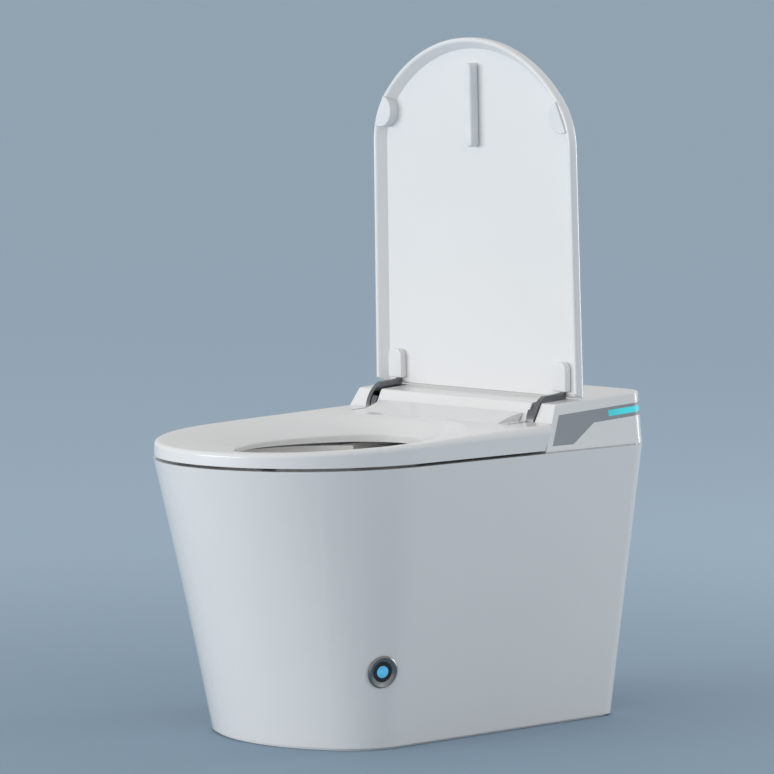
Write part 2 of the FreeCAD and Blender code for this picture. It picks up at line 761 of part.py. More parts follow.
# Seat: a dished ring with a ramp between the hinges, closed below by a plate.
seat_plan = plan("rim_half_width - seat_margin", "rim_front - seat_margin", "rim_side_start", "rim_angle",
                 "hinge_y + 78", "rear_corner")
seat_blank = prism(seat_plan[0], "rim_height + seat_gap", "rim_height + 90", arcs=seat_plan[1],
                   name="seat_blank")
above_seat = turned_to(box(("-300", "300"), ("0", "900"), ("0", "120"), "above_seat"), "seat_slope",
                       "-300", "-400", "rim_height + seat_rise - 400 * tan(seat_slope)")
behind_seat = turned_to(box(("-300", "300"), ("0", "300"), ("0", "300"), "behind_seat"),
                        "-cover_front_lean", "-300",
                        "cover_front - seat_rear_gap - 100 * tan(cover_front_lean)", "rim_height - 100")


def on_seat_top(edge):
    """Whether an edge runs round the sloping top of the seat, its rear edge left out."""
    slope = math.tan(math.radians(number("seat_slope")))
    flat = all(abs(v.Point.z - number("rim_height + seat_rise") - v.Point.y * slope) < 0.01
               for v in edge.Vertexes)
    return flat and not all(v.Point.y > number("cover_front") for v in edge.Vertexes)


def seat_edge(point):
    """Rounding at a point of the seat's top edge, which grows along the straight sides to the rear."""
    return "seat_edge_rear" if point.y > number("cover_front") else "seat_edge_front"


seat_body = rounded(cut(seat_blank, above_seat, behind_seat, name="seat_trimmed"), seat_edge, on_seat_top,
                    "seat_body")

# The bridge is the ramp between the hinges, a cap let into the seat behind the dish.
bridge_top = "rim_height + seat_rise + ramp_front * tan(seat_slope)"
bridge_long = "(hinge_y - ramp_front)"
BRIDGE = [("ramp_front", f"{bridge_top} - bridge_sunk"),
          ("hinge_y", f"{bridge_top} - bridge_sunk + {bridge_long} * tan(seat_slope)"),
          ("hinge_y", f"{bridge_top} + {bridge_long} * tan(ramp_slope)"), ("ramp_front", bridge_top)]
bridge_bar = prism(BRIDGE, "-ramp_half_width - 15", "ramp_half_width + 15", "yz", name="bridge_bar")


def bridge_form(play, name):
    """The bridge with a scoop at each end, short of them by a play."""
    scoops = [rod(f"scoop_radius + {play}", (x, "ramp_front + 17", "rim_height"), "90", name="scoop")
              for x in ("-ramp_half_width - scoop_radius + 2.4", "ramp_half_width + scoop_radius - 2.4")]
    return cut(bridge_bar, behind_seat, *scoops, name=name)


bridge_bed = bridge_form("0", "bridge_bed")


def on_bridge_nose(edge):
    """Whether an edge is the bridge's rear top edge, which passes close by the cover when the seat rises."""
    a, b = edge.Vertexes[0].Point, edge.Vertexes[-1].Point
    return abs(b.x - a.x) > number("ramp_half_width") and min(a.z, b.z) > number(f"{bridge_top} + 5")


bridge = rounded(bridge_form("0.1", "bridge_block"), "ramp_nose", on_bridge_nose, "bridge")


def dish_oval(share, name):
    """One oval of the dish, at a share of the way from the edge of the hole (0) to the crest (1)."""
    oval = egg(f"seat_hole_half_width + dish_side * {share}", "seat_hole_y",
               f"seat_hole_front + dish_front * {share}", f"seat_hole_rear + dish_rear * {share}",
               "seat_hole_angle")
    lift = f"({share} * (3 - {share}) / 2)"
    return turned_to(outline(*oval, name=name),
                     f"seat_hole_slope + (seat_slope - seat_hole_slope) * {lift}", "0", "0",
                     f"rim_height + seat_hole_rise + (seat_rise - seat_hole_rise) * {lift}")


dish = loft([dish_oval(f"({share})", "dish_oval") for share in (-0.12, 0.25, 0.65, 1.1)], ruled=False,
            name="dish")
hole_plan = egg("seat_hole_half_width", "seat_hole_y", "seat_hole_front", "seat_hole_rear", "seat_hole_angle")
seat_hole = prism(hole_plan[0], "rim_height", "rim_height + 90", arcs=hole_plan[1], name="seat_hole")


def on_hole_edge(edge):
    """Whether an edge runs round the top of the seat's hole."""
    flat = not upright(edge) and edge.Length > 10
    inside = all(abs(v.Point.x) < number("seat_hole_half_width + 1") for v in edge.Vertexes)
    low, high = number(seat_low) + 1, number("rim_height + seat_hole_rise") + 5
    return flat and inside and all(low < v.Point.z < high for v in edge.Vertexes)


def seat_ring(low, high, play, name):
    """A flat ring that fills the hollow of the seat between two levels, short of its walls by a play."""
    outer = plan(f"rim_half_width - seat_margin - seat_wall - {play}",
                 f"rim_front - seat_margin - seat_wall - {play}", "rim_side_start", "rim_angle",
                 f"seat_ring_rear - {play}", "rear_corner")
    inner = egg(f"seat_hole_half_width + seat_core_wall + {play}", "seat_hole_y",
                f"seat_hole_front + seat_core_wall + {play}", f"seat_hole_rear + seat_core_wall + {play}",
                "seat_hole_angle")
    return cut(prism(outer[0], low, high, arcs=outer[1], name=name + "_plate"),
               prism(inner[0], f"{low} - 1", f"{high} + 1", arcs=inner[1], name=name + "_core"), name=name)


seat_low = "rim_height + seat_gap"
seat_ceiling = "rim_height + seat_gap + 8"
seat_cavity = seat_ring(f"{seat_low} - 1", seat_ceiling, "0", "seat_cavity")
seat_dished = cut(seat_body, bridge_bed, dish, seat_hole, name="seat_dished")
seat_dished = rounded(seat_dished, "seat_hole_edge", on_hole_edge, "seat_softened")

# Each seat arm lies in a pocket of the seat.
seat_arm_low = "hinge_x - slot_half_width + 1"
seat_arm_high = "hinge_x - slot_half_width + 1 + arm_thick"
seat_arm_middle = "hinge_x - slot_half_width + 1 + arm_thick / 2"
arm_foot_low = "rim_height + hinge_rise - arm_sole - 2"
foot_pocket = box((f"{seat_arm_low} - 0.2", f"{seat_arm_high} + 0.2"),
                  ("hinge_y - seat_arm_foot - 12", "hinge_y"),
                  (f"{arm_foot_low} - 0.2", "rim_height + 90"), "foot_pocket")
seat_screw_hole = rod("2.2", (seat_arm_middle, "hinge_y - seat_arm_foot", "rim_height + seat_gap + 9"), "40",
                      name="seat_screw_hole")
arm_rooms = joined(foot_pocket, seat_screw_hole, name="arm_rooms")
node(cut(seat_dished, seat_cavity, arm_rooms, mirrored(arm_rooms, "arm_rooms_left"), name="seat_top"),
     "seat_top")
node(bridge, "seat_bridge")
node(seat_ring(seat_low, f"{seat_low} + 3", "0.2", "seat_plate"), "seat_base")
node(seat_ring(f"{seat_ceiling} - 1.5", seat_ceiling, "6", "seat_film"), "seat_heater")
pads = [at(disc("pad_radius", "0.2", "seat_gap", "seat_pad"), x, y, "rim_height")
        for x, y in (("-pad_x", "-pad_y"), ("pad_x", "-pad_y"), ("-front_pad_x", "-front_pad_y"),
                     ("front_pad_x", "-front_pad_y"))]
node(group(*pads, name="seat_pads"), "seat_buffers")

# Hinge: seat arms and lid arms turn side by side on one pin in each slot of the cover.
hinge_z = "rim_height + hinge_rise"


def arm(points, arcs, low, high, name):
    """A hinge arm cut from plate, drawn about the hinge axis, with a running bore for the pin."""
    plate = prism(points, low, high, "yz", arcs, name + "_plate")
    hub = rod("hub_radius", (low, "0", "0"), f"({high}) - ({low})", "x", name + "_hub")
    bore = rod("pin_radius + pin_play", (f"({low}) - 1", "0", "0"), f"({high}) - ({low}) + 2", "x",
               name + "_bore")
    return cut(joined(plate, hub, name=name + "_solid"), bore, name=name)


def reach(size, degrees):
    """Point at an angle on a circle about the hinge axis, as a pair of expressions."""
    return f"{size} * cos({degrees})", f"{size} * sin({degrees})"


SEAT_ARM = [("-hub_radius * 0.5", "hub_radius * 0.8"), reach("seat_arm_reach", "150"),
            reach("seat_arm_reach", "180"), ("-44", "-2"), ("-seat_arm_foot - 10", "-2"),
            ("-seat_arm_foot - 10", "-arm_sole - 2"), ("-34", "-arm_sole - 2"),
            ("-hub_radius * 0.4", "-hub_radius * 0.85")]
seat_arm = arm(SEAT_ARM, {1: ("seat_arm_reach", 1)}, seat_arm_low, seat_arm_high, "seat_arm")
seat_arm_hole = rod("2.2", (seat_arm_middle, "-seat_arm_foot", "-30"), "60", name="seat_arm_hole")
seat_arm = at(cut(seat_arm, seat_arm_hole, name="seat_arm_drilled"), "0", "hinge_y", hinge_z)
node(seat_arm, "seat_arm_right")
node(mirrored(seat_arm, "seat_arm_twin"), "seat_arm_left")
seat_screw = at(screw("3.3", "2", "1.9", "9", "seat_screw"), seat_arm_middle, "hinge_y - seat_arm_foot",
                f"{hinge_z} - 2")
node(group(seat_screw, mirrored(seat_screw, "seat_screw_twin"), name="seat_screw_pair"), "seat_screws")


def lid_placed(solid):
    """Stands a piece drawn on the lid's inner plane in the open lid's leaning frame behind the hinge."""
    return turned_to(solid, "lid_lean", "0", "hinge_y + lid_offset * cos(lid_lean)",
                     f"{hinge_z} + lid_offset * sin(lid_lean)")


def lid_shape(inset, depth, name):
    """The lid's outline in its own upright frame at a depth behind its inner plane."""
    half = f"(lid_half_width - {inset})"
    radius, corner, across, drop = front_arc(half, f"(lid_round - {inset})", "lid_angle")
    start = "(lid_top - lid_round)"
    points = [(f"-(lid_base_half_width - {inset})", "0"), (f"lid_base_half_width - {inset}", "0"),
              (half, start), (across, f"{start} - ({drop})"), (f"-({across})", f"{start} - ({drop})"),
              (f"-{half}", start)]
    return outline(points, {2: (corner, 1), 3: (radius, 1), 4: (corner, 1)}, depth, "xz", name)


def lid_block(inset, low, high, name):
    """The lid's outline as a plate between two depths."""
    sketch = lid_shape(inset, high, name + "_outline")
    solid = doc.addObject("Part::Extrusion", name)
    solid.Base = sketch
    solid.DirMode = "Normal"
    solid.Solid = True
    solid.setExpression("LengthFwd", bound(f"({high}) - ({low})"))
    return solid


lid_blank = lid_block("0", "0", "lid_thick", "lid_blank")
below_lid = prism([("-60", "-10"), ("lid_thick + 60", "-10"), ("lid_thick + 60", "lid_base - 32"),
                   ("lid_thick", "lid_base - 8"), ("0", "lid_base"), ("-60", "lid_base")],
                  "-300", "300", "yz", name="below_lid")
lid_cut_blank = cut(lid_blank, below_lid, name="lid_cut_blank")


def on_lid_back(edge):
    return all(abs(v.Point.y - number("lid_thick")) < 0.01 for v in edge.Vertexes)


def on_lid_rim(edge):
    return all(abs(v.Point.y) < 0.01 for v in edge.Vertexes)


lid_back = rounded(lid_cut_blank, "lid_back_edge", on_lid_back, "lid_back")
lid_round = rounded(lid_back, "lid_rim_edge", on_lid_rim, "lid_round")
lid_hollow = loft([lid_shape("lid_lip", "-0.1", "lid_hollow_rim"),
                   lid_shape("(lid_lip + lid_draft)", "lid_recess", "lid_hollow_floor")], name="lid_hollow")
lug_x = "(hinge_x + slot_half_width - 1 - arm_thick / 2)"
lid_screw_spots = [(x, z) for x in (f"-{lug_x}", lug_x) for z in ("lid_base + 8", "lid_base + 20")]
lid_screw_holes = [rod("2.1", (x, "lid_recess - 1", z), "5", "y", "lid_screw_hole") for x,
                   z in lid_screw_spots]
node(lid_placed(cut(lid_round, lid_hollow, *lid_screw_holes, name="lid_shell")), "lid_shell")

side_disc = rod("side_buffer_radius", ("lid_half_width - 16", "-buffer_stand", "lid_top - lid_round * 0.7"),
                "lid_recess + buffer_stand", "y", "side_disc")
disc_limit = lid_block("(lid_lip + lid_draft + 0.2)", "-20", "lid_recess", "disc_limit")
side_buffer = shared(side_disc, disc_limit, name="side_buffer")
node(lid_placed(group(side_buffer, mirrored(side_buffer, "side_buffer_twin"), name="side_buffers")),
     "lid_side_buffers")
strip = box(("-strip_half_width", "strip_half_width"), ("-buffer_stand", "lid_recess"),
            ("lid_top - strip_low", "lid_top - strip_high"), "strip")
strip = rounded(strip, "strip_half_width - 0.1",
                lambda edge: abs(edge.tangentAt(edge.FirstParameter).y) > 0.99, "strip_round")
node(lid_placed(strip), "lid_front_buffer")

lid_arm_low = "hinge_x + slot_half_width - 1 - arm_thick"
lid_arm_high = "hinge_x + slot_half_width - 1"
tab_back = "lid_offset + lid_recess"
tab_front = "lid_offset + lid_recess - 5"
LID_ARM = [("hub_radius * 0.8", "hub_radius * 0.6"), (tab_back, "lid_base - 7.5"),
           (tab_back, "lid_base + 27"), (tab_front, "lid_base + 27"), (tab_front, "lid_base - 1"),
           reach("lid_arm_reach", "112.5"), reach("lid_arm_reach", "196"),
           ("-hub_radius * 0.6", "-hub_radius * 0.8")]
lid_arm = arm(LID_ARM, {5: ("lid_arm_reach", 1)}, lid_arm_low, lid_arm_high, "lid_arm")
arm_holes = [rod("2.1", (lug_x, "0", z), "60", "y", "arm_hole")
             for z in ("lid_base + 8", "lid_base + 20")]
lid_arm = turned_to(cut(lid_arm, *arm_holes, name="lid_arm_drilled"), "lid_lean", "0", "hinge_y", hinge_z)
node(lid_arm, "lid_arm_right")
node(mirrored(lid_arm, "lid_arm_twin"), "lid_arm_left")

# Lid lugs cover the arm roots; screws hold the arms to the lid behind them.
lug_block = box((f"{lug_x} - lug_half_width", f"{lug_x} + lug_half_width"), ("lug_front", "lid_recess"),
                ("lid_base + 1", "lid_base + lug_height"), "lug_block")
lug_block = rounded(lug_block, "9", lambda edge: abs(edge.tangentAt(edge.FirstParameter).y) > 0.99
                    and edge.Vertexes[0].Point.z > number("lid_base + 20"), "lug_round")
lug_pocket = box((f"{lid_arm_low} - 0.2", f"{lid_arm_high} + 0.2"),
                 ("lug_front + lug_wall", "lid_recess + 1"), ("lid_base - 9", "lid_base + 27.2"),
                 "lug_pocket")
lug = cut(lug_block, lug_pocket, name="lug")
node(lid_placed(group(lug, mirrored(lug, "lug_twin"), name="lugs")), "lid_lugs")
lid_screws = []
for x, z in lid_screw_spots:
    lid_screw = screw("3.2", "2", "2", "8", "lid_screw")
    lid_screw.Placement = Placement(Vector(), Rotation(Vector(1, 0, 0), 90))
    lid_screws.append(at(lid_screw, x, "lid_recess - 5", z))
node(lid_placed(group(*lid_screws, name="lid_screw_set")), "lid_screws")

# Unit base: a tray in the ceramic well that carries everything under the cover.
base_low = "rim_height - well_depth"
base_top = "rim_height - well_depth + base_thick"


def under_nozzle(y, drop):
    """Height of a line under the nozzle axis at a depth y."""
    axis = f"rim_height - nozzle_tip_drop + (({y}) - nozzle_tip_y) * tan(nozzle_slope)"
    return f"{axis} - ({drop}) / cos(nozzle_slope)"


base_plate = box(("well_margin + 3 - rim_half_width", "rim_half_width - well_margin - 3"),
                 ("well_front + 2", "rim_rear - well_margin - 2"), (base_low, base_top), "base_plate")
REST = [("well_front + 16", base_low), ("well_front + 86", base_low),
        ("well_front + 86", under_nozzle("well_front + 86", "cradle_floor")),
        ("well_front + 16", under_nozzle("well_front + 16", "cradle_floor"))]
cradle_rest = prism(REST, "2 - cradle_half_width", "cradle_half_width - 2", "yz", name="cradle_rest")
base_under = f"{base_low} - 1"
base_holes = [rod("inlet_radius + clearance", ("-port_x", "port_y", base_under), "20",
                  name="base_inlet_hole"), rod("gland_radius + clearance", ("port_x", "port_y",
                                                                            base_under), "20",
                                               name="base_gland_hole")]
base_holes += [rod("bolt_radius + clearance", (x, "bolt_y", base_under), "20", name="base_bolt_hole")
               for x in ("-bolt_x", "bolt_x")]
node(cut(joined(base_plate, cradle_rest, name="base_full"), *base_holes, name="base"), "unit_base")

bolt_long = "deck - well_depth + 14"
bolts = [at(screw("bolt_head", "6", "bolt_radius", bolt_long, "unit_bolt"), x, "bolt_y", base_top)
         for x in ("-bolt_x", "bolt_x")]
node(group(*bolts, name="unit_bolt_pair"), "unit_bolts")
nuts = [at(washer("bolt_head + 0.5", "bolt_radius + pin_play", "-8", "0", "unit_nut"), x, "bolt_y",
           "rim_height - deck") for x in ("-bolt_x", "bolt_x")]
node(group(*nuts, name="unit_nut_pair"), "unit_nuts")

# Hinge brackets stand on the base and hold the pins on both sides of the arms.
bracket_low = "hinge_x - slot_half_width - bracket_wall - 1.5"
bracket_high = "hinge_x + slot_half_width + bracket_wall + 1.5"
bracket_foot = box((bracket_low, bracket_high), ("hinge_y - drive_half_depth", "hinge_y + drive_half_depth"),
                   (base_top, f"{base_top} + 5"), "bracket_foot")
cheeks = []
for low, high in ((bracket_low, f"{bracket_low} + bracket_wall"),
                  (f"{bracket_high} - bracket_wall", bracket_high)):
    cheeks.append(box((low, high), ("hinge_y - bracket_half_depth", "hinge_y + bracket_half_depth"),
                      (base_top, hinge_z), "cheek"))
    cheeks.append(rod("bracket_half_depth", (low, "hinge_y", hinge_z), "bracket_wall", "x", "cheek_round"))
bracket_bore = rod("pin_radius + pin_play", (f"{bracket_low} - 1", "hinge_y", hinge_z), "60", "x",
                   "bracket_bore")
bracket = cut(joined(bracket_foot, *cheeks, name="bracket_full"), bracket_bore, name="bracket")
node(bracket, "hinge_bracket_right")
node(mirrored(bracket, "bracket_twin"), "hinge_bracket_left")

pin_start = f"{bracket_low} - 18"
pin_long = "2 * slot_half_width + 2 * bracket_wall + 3 + 17.8"
pin = turned("pin", [("0", "0"), ("pin_radius - 0.8", "0"), ("pin_radius", "0.8"), ("pin_radius",
                                                                                    f"{pin_long} - 0.8"),
                     ("pin_radius - 0.8", pin_long), ("0", pin_long)])
pin.Placement = Placement(Vector(), TURNS["x"])
at(pin, pin_start, "hinge_y", hinge_z)
node(pin, "hinge_pin_right")
node(mirrored(pin, "pin_twin"), "hinge_pin_left")

# Drives: a gearbox beside each bracket with its motor behind, turning the pin.
gearbox = box((f"{bracket_low} - drive_width", f"{bracket_low} - clearance"),
              ("hinge_y - drive_half_depth", "hinge_y + drive_half_depth"),
              (base_top, f"{hinge_z} + bracket_half_depth"), "gearbox")
gearbox = rounded(gearbox, "6", lambda edge: abs(edge.tangentAt(edge.FirstParameter).x) > 0.99,
                  "gearbox_round")
motor = rod("motor_radius", ("duct_left + 1.5", "hinge_y", f"{base_top} + motor_rise"),
            f"{bracket_low} - drive_width - duct_left - 1", "x", "motor")
socket = rod("pin_radius + pin_play", (f"{pin_start} - 0.2", "hinge_y", hinge_z), "30", "x", "socket")
drive = cut(joined(gearbox, motor, name="drive_full"), socket, name="drive")
node(drive, "lid_drive")
node(mirrored(drive, "drive_twin"), "seat_drive")


def nozzle_placed(solid):
    """Puts a piece drawn along Y from the wand's tip onto the sloping nozzle line."""
    return turned_to(solid, "nozzle_slope", "0", "nozzle_tip_y", "rim_height - nozzle_tip_drop")


# Nozzle: a wand with a rack slides in a cradle, driven by a pinion, behind a shutter.
pitch_radius = "(pinion_teeth * tooth_module / 2)"
rack_root = "(wand_radius + 1.2)"
pinion_z = f"({rack_root} + 1.25 * tooth_module + {pitch_radius})"
SLACK = 0.12


def rack_teeth(first, count, name):
    """Rack teeth in steps of the pitch, each a little thin for play."""
    module = number("tooth_module")
    root, half = number(rack_root), number("rack_half_width")
    low, high = 0.78 * module + 1.25 * module * 0.364 - SLACK, 0.78 * module - module * 0.364 - SLACK
    teeth = []
    for i in range(count):
        y = first + i * math.pi * module
        corners = [Vector(-half, y - low, root - 0.2), Vector(-half, y + low, root - 0.2),
                   Vector(-half, y + high, root + 2.25 * module),
                   Vector(-half, y - high, root + 2.25 * module)]
        face = Part.Face(Part.makePolygon(corners + corners[:1]))
        teeth.append(face.extrude(Vector(2 * half, 0, 0)))
    solid = doc.addObject("Part::Feature", name)
    solid.Shape = Part.makeCompound(teeth)
    return solid


def involute_gear(teeth, module, width, bore, name):
    """Spur gear about X with involute flanks and a gap straight below its axis."""
    pitch, tip, root = teeth * module / 2, teeth * module / 2 + module, teeth * module / 2 - 1.2 * module
    base = pitch * math.cos(math.radians(20))
    spread = math.tan(math.radians(20)) - math.radians(20)
    half = (math.pi * module / 2 - 2 * SLACK) / (2 * pitch) + spread
    flank = []
    for i in range(6):
        radius = max(base, root) + (tip - max(base, root)) * i / 5
        pressure = math.acos(min(base / radius, 1))
        flank.append((radius, half - (math.tan(pressure) - pressure)))
    rim = []
    for i in range(teeth):
        centre = -math.pi / 2 + (i + 0.5) * 2 * math.pi / teeth
        rim.append((root, centre - half - 0.01))
        rim += [(radius, centre - angle) for radius, angle in flank]
        rim += [(radius, centre + angle) for radius, angle in reversed(flank)]
        rim.append((root, centre + half + 0.01))
    points = [Vector(-width / 2, radius * math.cos(angle), radius * math.sin(angle)) for radius, angle in rim]
    wheel = Part.Face(Part.makePolygon(points + points[:1])).extrude(Vector(width, 0, 0))
    hole = Part.makeCylinder(bore, width + 2, Vector(-width / 2 - 1, 0, 0), Vector(1, 0, 0))
    solid = doc.addObject("Part::Feature", name)
    solid.Shape = wheel.cut(hole)
    return solid


wand_tube = rod("wand_radius", ("0", "tip_length", "0"), "wand_length - tip_length", "y", "wand_tube")
rack_bar = box(("-rack_half_width", "rack_half_width"), ("rack_start", "wand_length - 2"),
               ("wand_radius - 2", rack_root), "rack_bar")
teeth = rack_teeth(number("pinion_y"), int(number("rack_count")), "rack_teeth")
wand_bore = rod("wand_bore", ("0", "tip_length - 1", "0"), "wand_length", "y", "wand_bore")
wand = nozzle_placed(cut(joined(wand_tube, rack_bar, teeth, name="wand_full"), wand_bore, name="wand"))
node(wand, "nozzle_wand")
tip = rounded(rod("wand_radius", ("0", "0", "0"), "tip_length", "y", "tip_bar"), "4",
              lambda edge: all(abs(v.Point.y) < 0.01 for v in edge.Vertexes) and edge.Length > 20,
              "tip_round")
jets = [rod("0.9", ("0", y, "0"), "20", name="jet") for y in ("5.5", "9")]
node(nozzle_placed(cut(tip, *jets, name="tip")), "nozzle_tip")

cradle_block = box(("-cradle_half_width", "cradle_half_width"), ("-cradle_nose", "wand_length + 6"),
                   ("-cradle_floor", "cradle_top"), "cradle_block")
motor_wall = box(("9.5", "cradle_half_width"), ("pinion_y - 16", "pinion_y + 16"),
                 ("0", f"{pinion_z} + 12"), "motor_wall")
cradle_bore = rod("wand_radius + clearance", ("0", "-cradle_nose - 1", "0"), "wand_length + 40", "y",
                  "cradle_bore")
cradle_slot = box(("-wand_radius - clearance", "wand_radius + clearance"),
                  ("-cradle_nose - 1", "wand_length + 20"), ("0", "60"), "cradle_slot")
shaft_hole = rod("shaft_radius + 0.1", ("5", "pinion_y", pinion_z), "20", "x", "shaft_hole")
cradle_full = joined(cradle_block, motor_wall, name="cradle_full")
cradle = nozzle_placed(cut(cradle_full, cradle_bore, cradle_slot, shaft_hole, name="cradle"))
channel_floor = "rim_height - channel_depth"
FOOT = [("nozzle_tip_y + 7", channel_floor), ("nozzle_tip_y + 29", channel_floor),
        ("nozzle_tip_y + 29", under_nozzle("nozzle_tip_y + 29", "cradle_floor - 0.5")),
        ("nozzle_tip_y + 7", under_nozzle("nozzle_tip_y + 7", "cradle_floor - 0.5"))]
cradle_foot = prism(FOOT, "2 - cradle_half_width", "cradle_half_width - 2", "yz", name="cradle_foot")
node(joined(cradle, cradle_foot, name="cradle_footed"), "nozzle_cradle")

pinion = involute_gear(int(number("pinion_teeth")), number("tooth_module"), number("2 * rack_half_width"),
                       number("shaft_radius + 0.02"), "pinion")
pinion_set = at(group(pinion, name="pinion_set"), "0", "pinion_y", pinion_z)
node(nozzle_placed(group(pinion_set, name="pinion_placed")), "nozzle_pinion")
stepper = joined(rod("stepper_radius", ("cradle_half_width", "pinion_y", pinion_z), "stepper_length", "x",
                     "stepper_can"), rod("shaft_radius", ("-4", "pinion_y", pinion_z), "20", "x",
                                         "stepper_shaft"), name="stepper")
node(nozzle_placed(stepper), "nozzle_motor")

frame_depth = ("-cradle_nose - 12", "-cradle_nose - 0.1")
frame_block = box(("-gate_half_width", "gate_half_width"), frame_depth, ("-15", "20"), "frame_block")
frame_open = box(("gate_wall - gate_half_width", "gate_half_width - gate_wall"),
                 ("-cradle_nose - 13", "1 - cradle_nose"), ("-11", "16"), "frame_open")
ears = [box((low, high), ("shutter_y - 2.4", "shutter_y + 3.6"), ("shutter_z - 4.5", "shutter_z + 3.5"),
            "ear") for low, high in (("-gate_half_width - 2", "2.5 - gate_half_width"),
                                     ("gate_half_width - 2.5", "gate_half_width + 2"))]
ear_bore = rod("1.56", ("-gate_half_width - 8", "shutter_y", "shutter_z"), "2 * gate_half_width + 16",
               "x", "ear_bore")
frame_foot = box(("2 - gate_half_width", "gate_half_width - 2"), frame_depth, ("-17", "-14"), "frame_foot")
frame_full = joined(frame_block, frame_foot, *ears, name="frame_full")
node(nozzle_placed(cut(frame_full, frame_open, ear_bore, name="nozzle_front")), "nozzle_frame")
shutter_plate = box(("3 - gate_half_width", "gate_half_width - 3"), ("shutter_y - 1", "shutter_y + 1.2"),
                    ("-14", "shutter_z"), "shutter_plate")
shutter = joined(shutter_plate,
                 rod("2.2", ("3 - gate_half_width", "shutter_y", "shutter_z"), "2 * gate_half_width - 6",
                     "x", "shutter_barrel"), rod("1.5", ("-gate_half_width - 2", "shutter_y",
                                                         "shutter_z"), "2 * gate_half_width + 4", "x",
                                                 "shutter_pin"), name="shutter")
node(nozzle_placed(shutter), "nozzle_shutter")

# Dryer: a blower on the base, a duct beside the nozzle and a sprung flap at its mouth.
duct_block = box(("-duct_left", "-duct_right"), ("-18", "duct_length"), ("-cradle_floor", "cradle_top"),
                 "duct_block")
duct_bore = box(("duct_wall - duct_left", "-duct_right - duct_wall"), ("-19", "duct_length + 1"),
                ("duct_wall - cradle_floor", "cradle_top - duct_wall"), "duct_bore")
duct_ears = [box((low, high), ("flap_y - 2.6", "flap_y + 4.4"), ("flap_z - 4.6", "flap_z + 3.4"), "duct_ear")
             for low, high in (("-duct_left - 3", "-duct_left"), ("-duct_right", "3 - duct_right"))]
duct_ear_bore = rod("1.26", ("-duct_left - 6", "flap_y", "flap_z"), "duct_left - duct_right + 16", "x",
                    "duct_ear_bore")
duct = nozzle_placed(cut(joined(duct_block, *duct_ears, name="duct_full"), duct_bore, duct_ear_bore,
                         name="duct"))
duct_foot = prism(FOOT, "4 - duct_left", "-duct_right - 4", "yz", name="duct_foot")
node(joined(duct, duct_foot, name="duct_footed"), "dryer_duct")
flap_plate = box(("0.4 - duct_left", "-duct_right - 0.4"), ("flap_y - 0.9", "flap_y + 0.9"),
                 ("0.4 - cradle_floor", "flap_z"), "flap_plate")
flap = joined(flap_plate, rod("1.8", ("0.4 - duct_left", "flap_y", "flap_z"),
                              "duct_left - duct_right - 0.8", "x", "flap_barrel"),
              rod("1.2", ("-duct_left - 3", "flap_y", "flap_z"), "duct_left - duct_right + 6", "x",
                  "flap_pin"), name="flap")
node(nozzle_placed(flap), "dryer_flap")
scroll = rod("blower_radius", ("-blower_x", "blower_y", base_top), "blower_height", name="scroll")
outlet = box(("-blower_x - 4", "-duct_right - duct_wall"), ("blower_y - 72", "blower_y"),
             (base_top, f"{base_top} + blower_height - 6"), "blower_outlet")
inlet_eye = rod("blower_radius * 0.47", ("-blower_x", "blower_y", f"{base_top} + blower_height - 6"), "20",
                name="inlet_eye")
node(cut(joined(scroll, outlet, name="blower_full"), inlet_eye, name="blower"), "dryer_blower")

# Water path and electrics on the base.
inlet = turned("inlet", [("0", "-64"), ("inlet_radius - 1.6", "-64"), ("inlet_radius - 1.6", "-44"),
                         ("inlet_radius + 3", "-44"), ("inlet_radius + 3", "-36"), ("inlet_radius", "-36"),
                         ("inlet_radius", "0"), ("0", "0")])
node(at(inlet, "-port_x", "port_y", base_top), "water_inlet")
valve_block = box(("-port_x - 22", "-port_x + 21"), ("port_y - 20", "port_y + 16"),
                  (base_top, f"{base_top} + valve_height"), "valve_block")
valve_block = rounded(valve_block, "4", upright, "valve_round")
coil = rod("13", ("-port_x", "port_y - 4", f"{base_top} + valve_height"), "26", name="coil")
node(joined(valve_block, coil, name="valve"), "solenoid_valve")
heater_block = box(("heater_start", "heater_end"),
                   ("heater_y - heater_half_length", "heater_y + heater_half_length"),
                   (base_top, f"{base_top} + heater_height"), "heater_block")
heater_block = rounded(heater_block, "8", upright, "heater_round")
nipples = [rod("5", (x, "heater_y", f"{base_top} + heater_height"), "14", name="nipple")
           for x in ("heater_start + 16", "heater_end - 16")]
node(joined(heater_block, *nipples, name="heater"), "water_heater")
gland = turned("gland", [("gland_radius - 4.8", "-26"), ("gland_radius", "-26"), ("gland_radius", "0"),
                         ("gland_radius + 4", "0"), ("gland_radius + 4", "5"), ("gland_radius - 4.8", "8")])
node(at(gland, "port_x", "port_y", base_top), "cord_gland")
board_low = f"{base_top} + board_height"
board = box(("port_x - 20", "port_x + 50"), ("port_y - 50", "port_y + 14"),
            (board_low, f"{board_low} + 1.6"), "board_plate")
posts = [rod("3", (x, y, base_top), "board_height", name="board_post")
         for x in ("port_x - 15", "port_x + 45") for y in ("port_y - 45", "port_y + 9")]
CHIPS = [("port_x - 10", "port_y - 38", "20", "20", "4"), ("port_x + 18", "port_y - 42", "24", "14", "14"),
         ("port_x - 6", "port_y - 8", "16", "12", "12")]
chips = [box((x, f"{x} + {wide}"), (y, f"{y} + {deep}"), (f"{board_low} + 1.6", f"{board_low} + {high}"),
             "chip") for x, y, wide, deep, high in CHIPS]
node(joined(board, *posts, *chips, name="board"), "control_board")

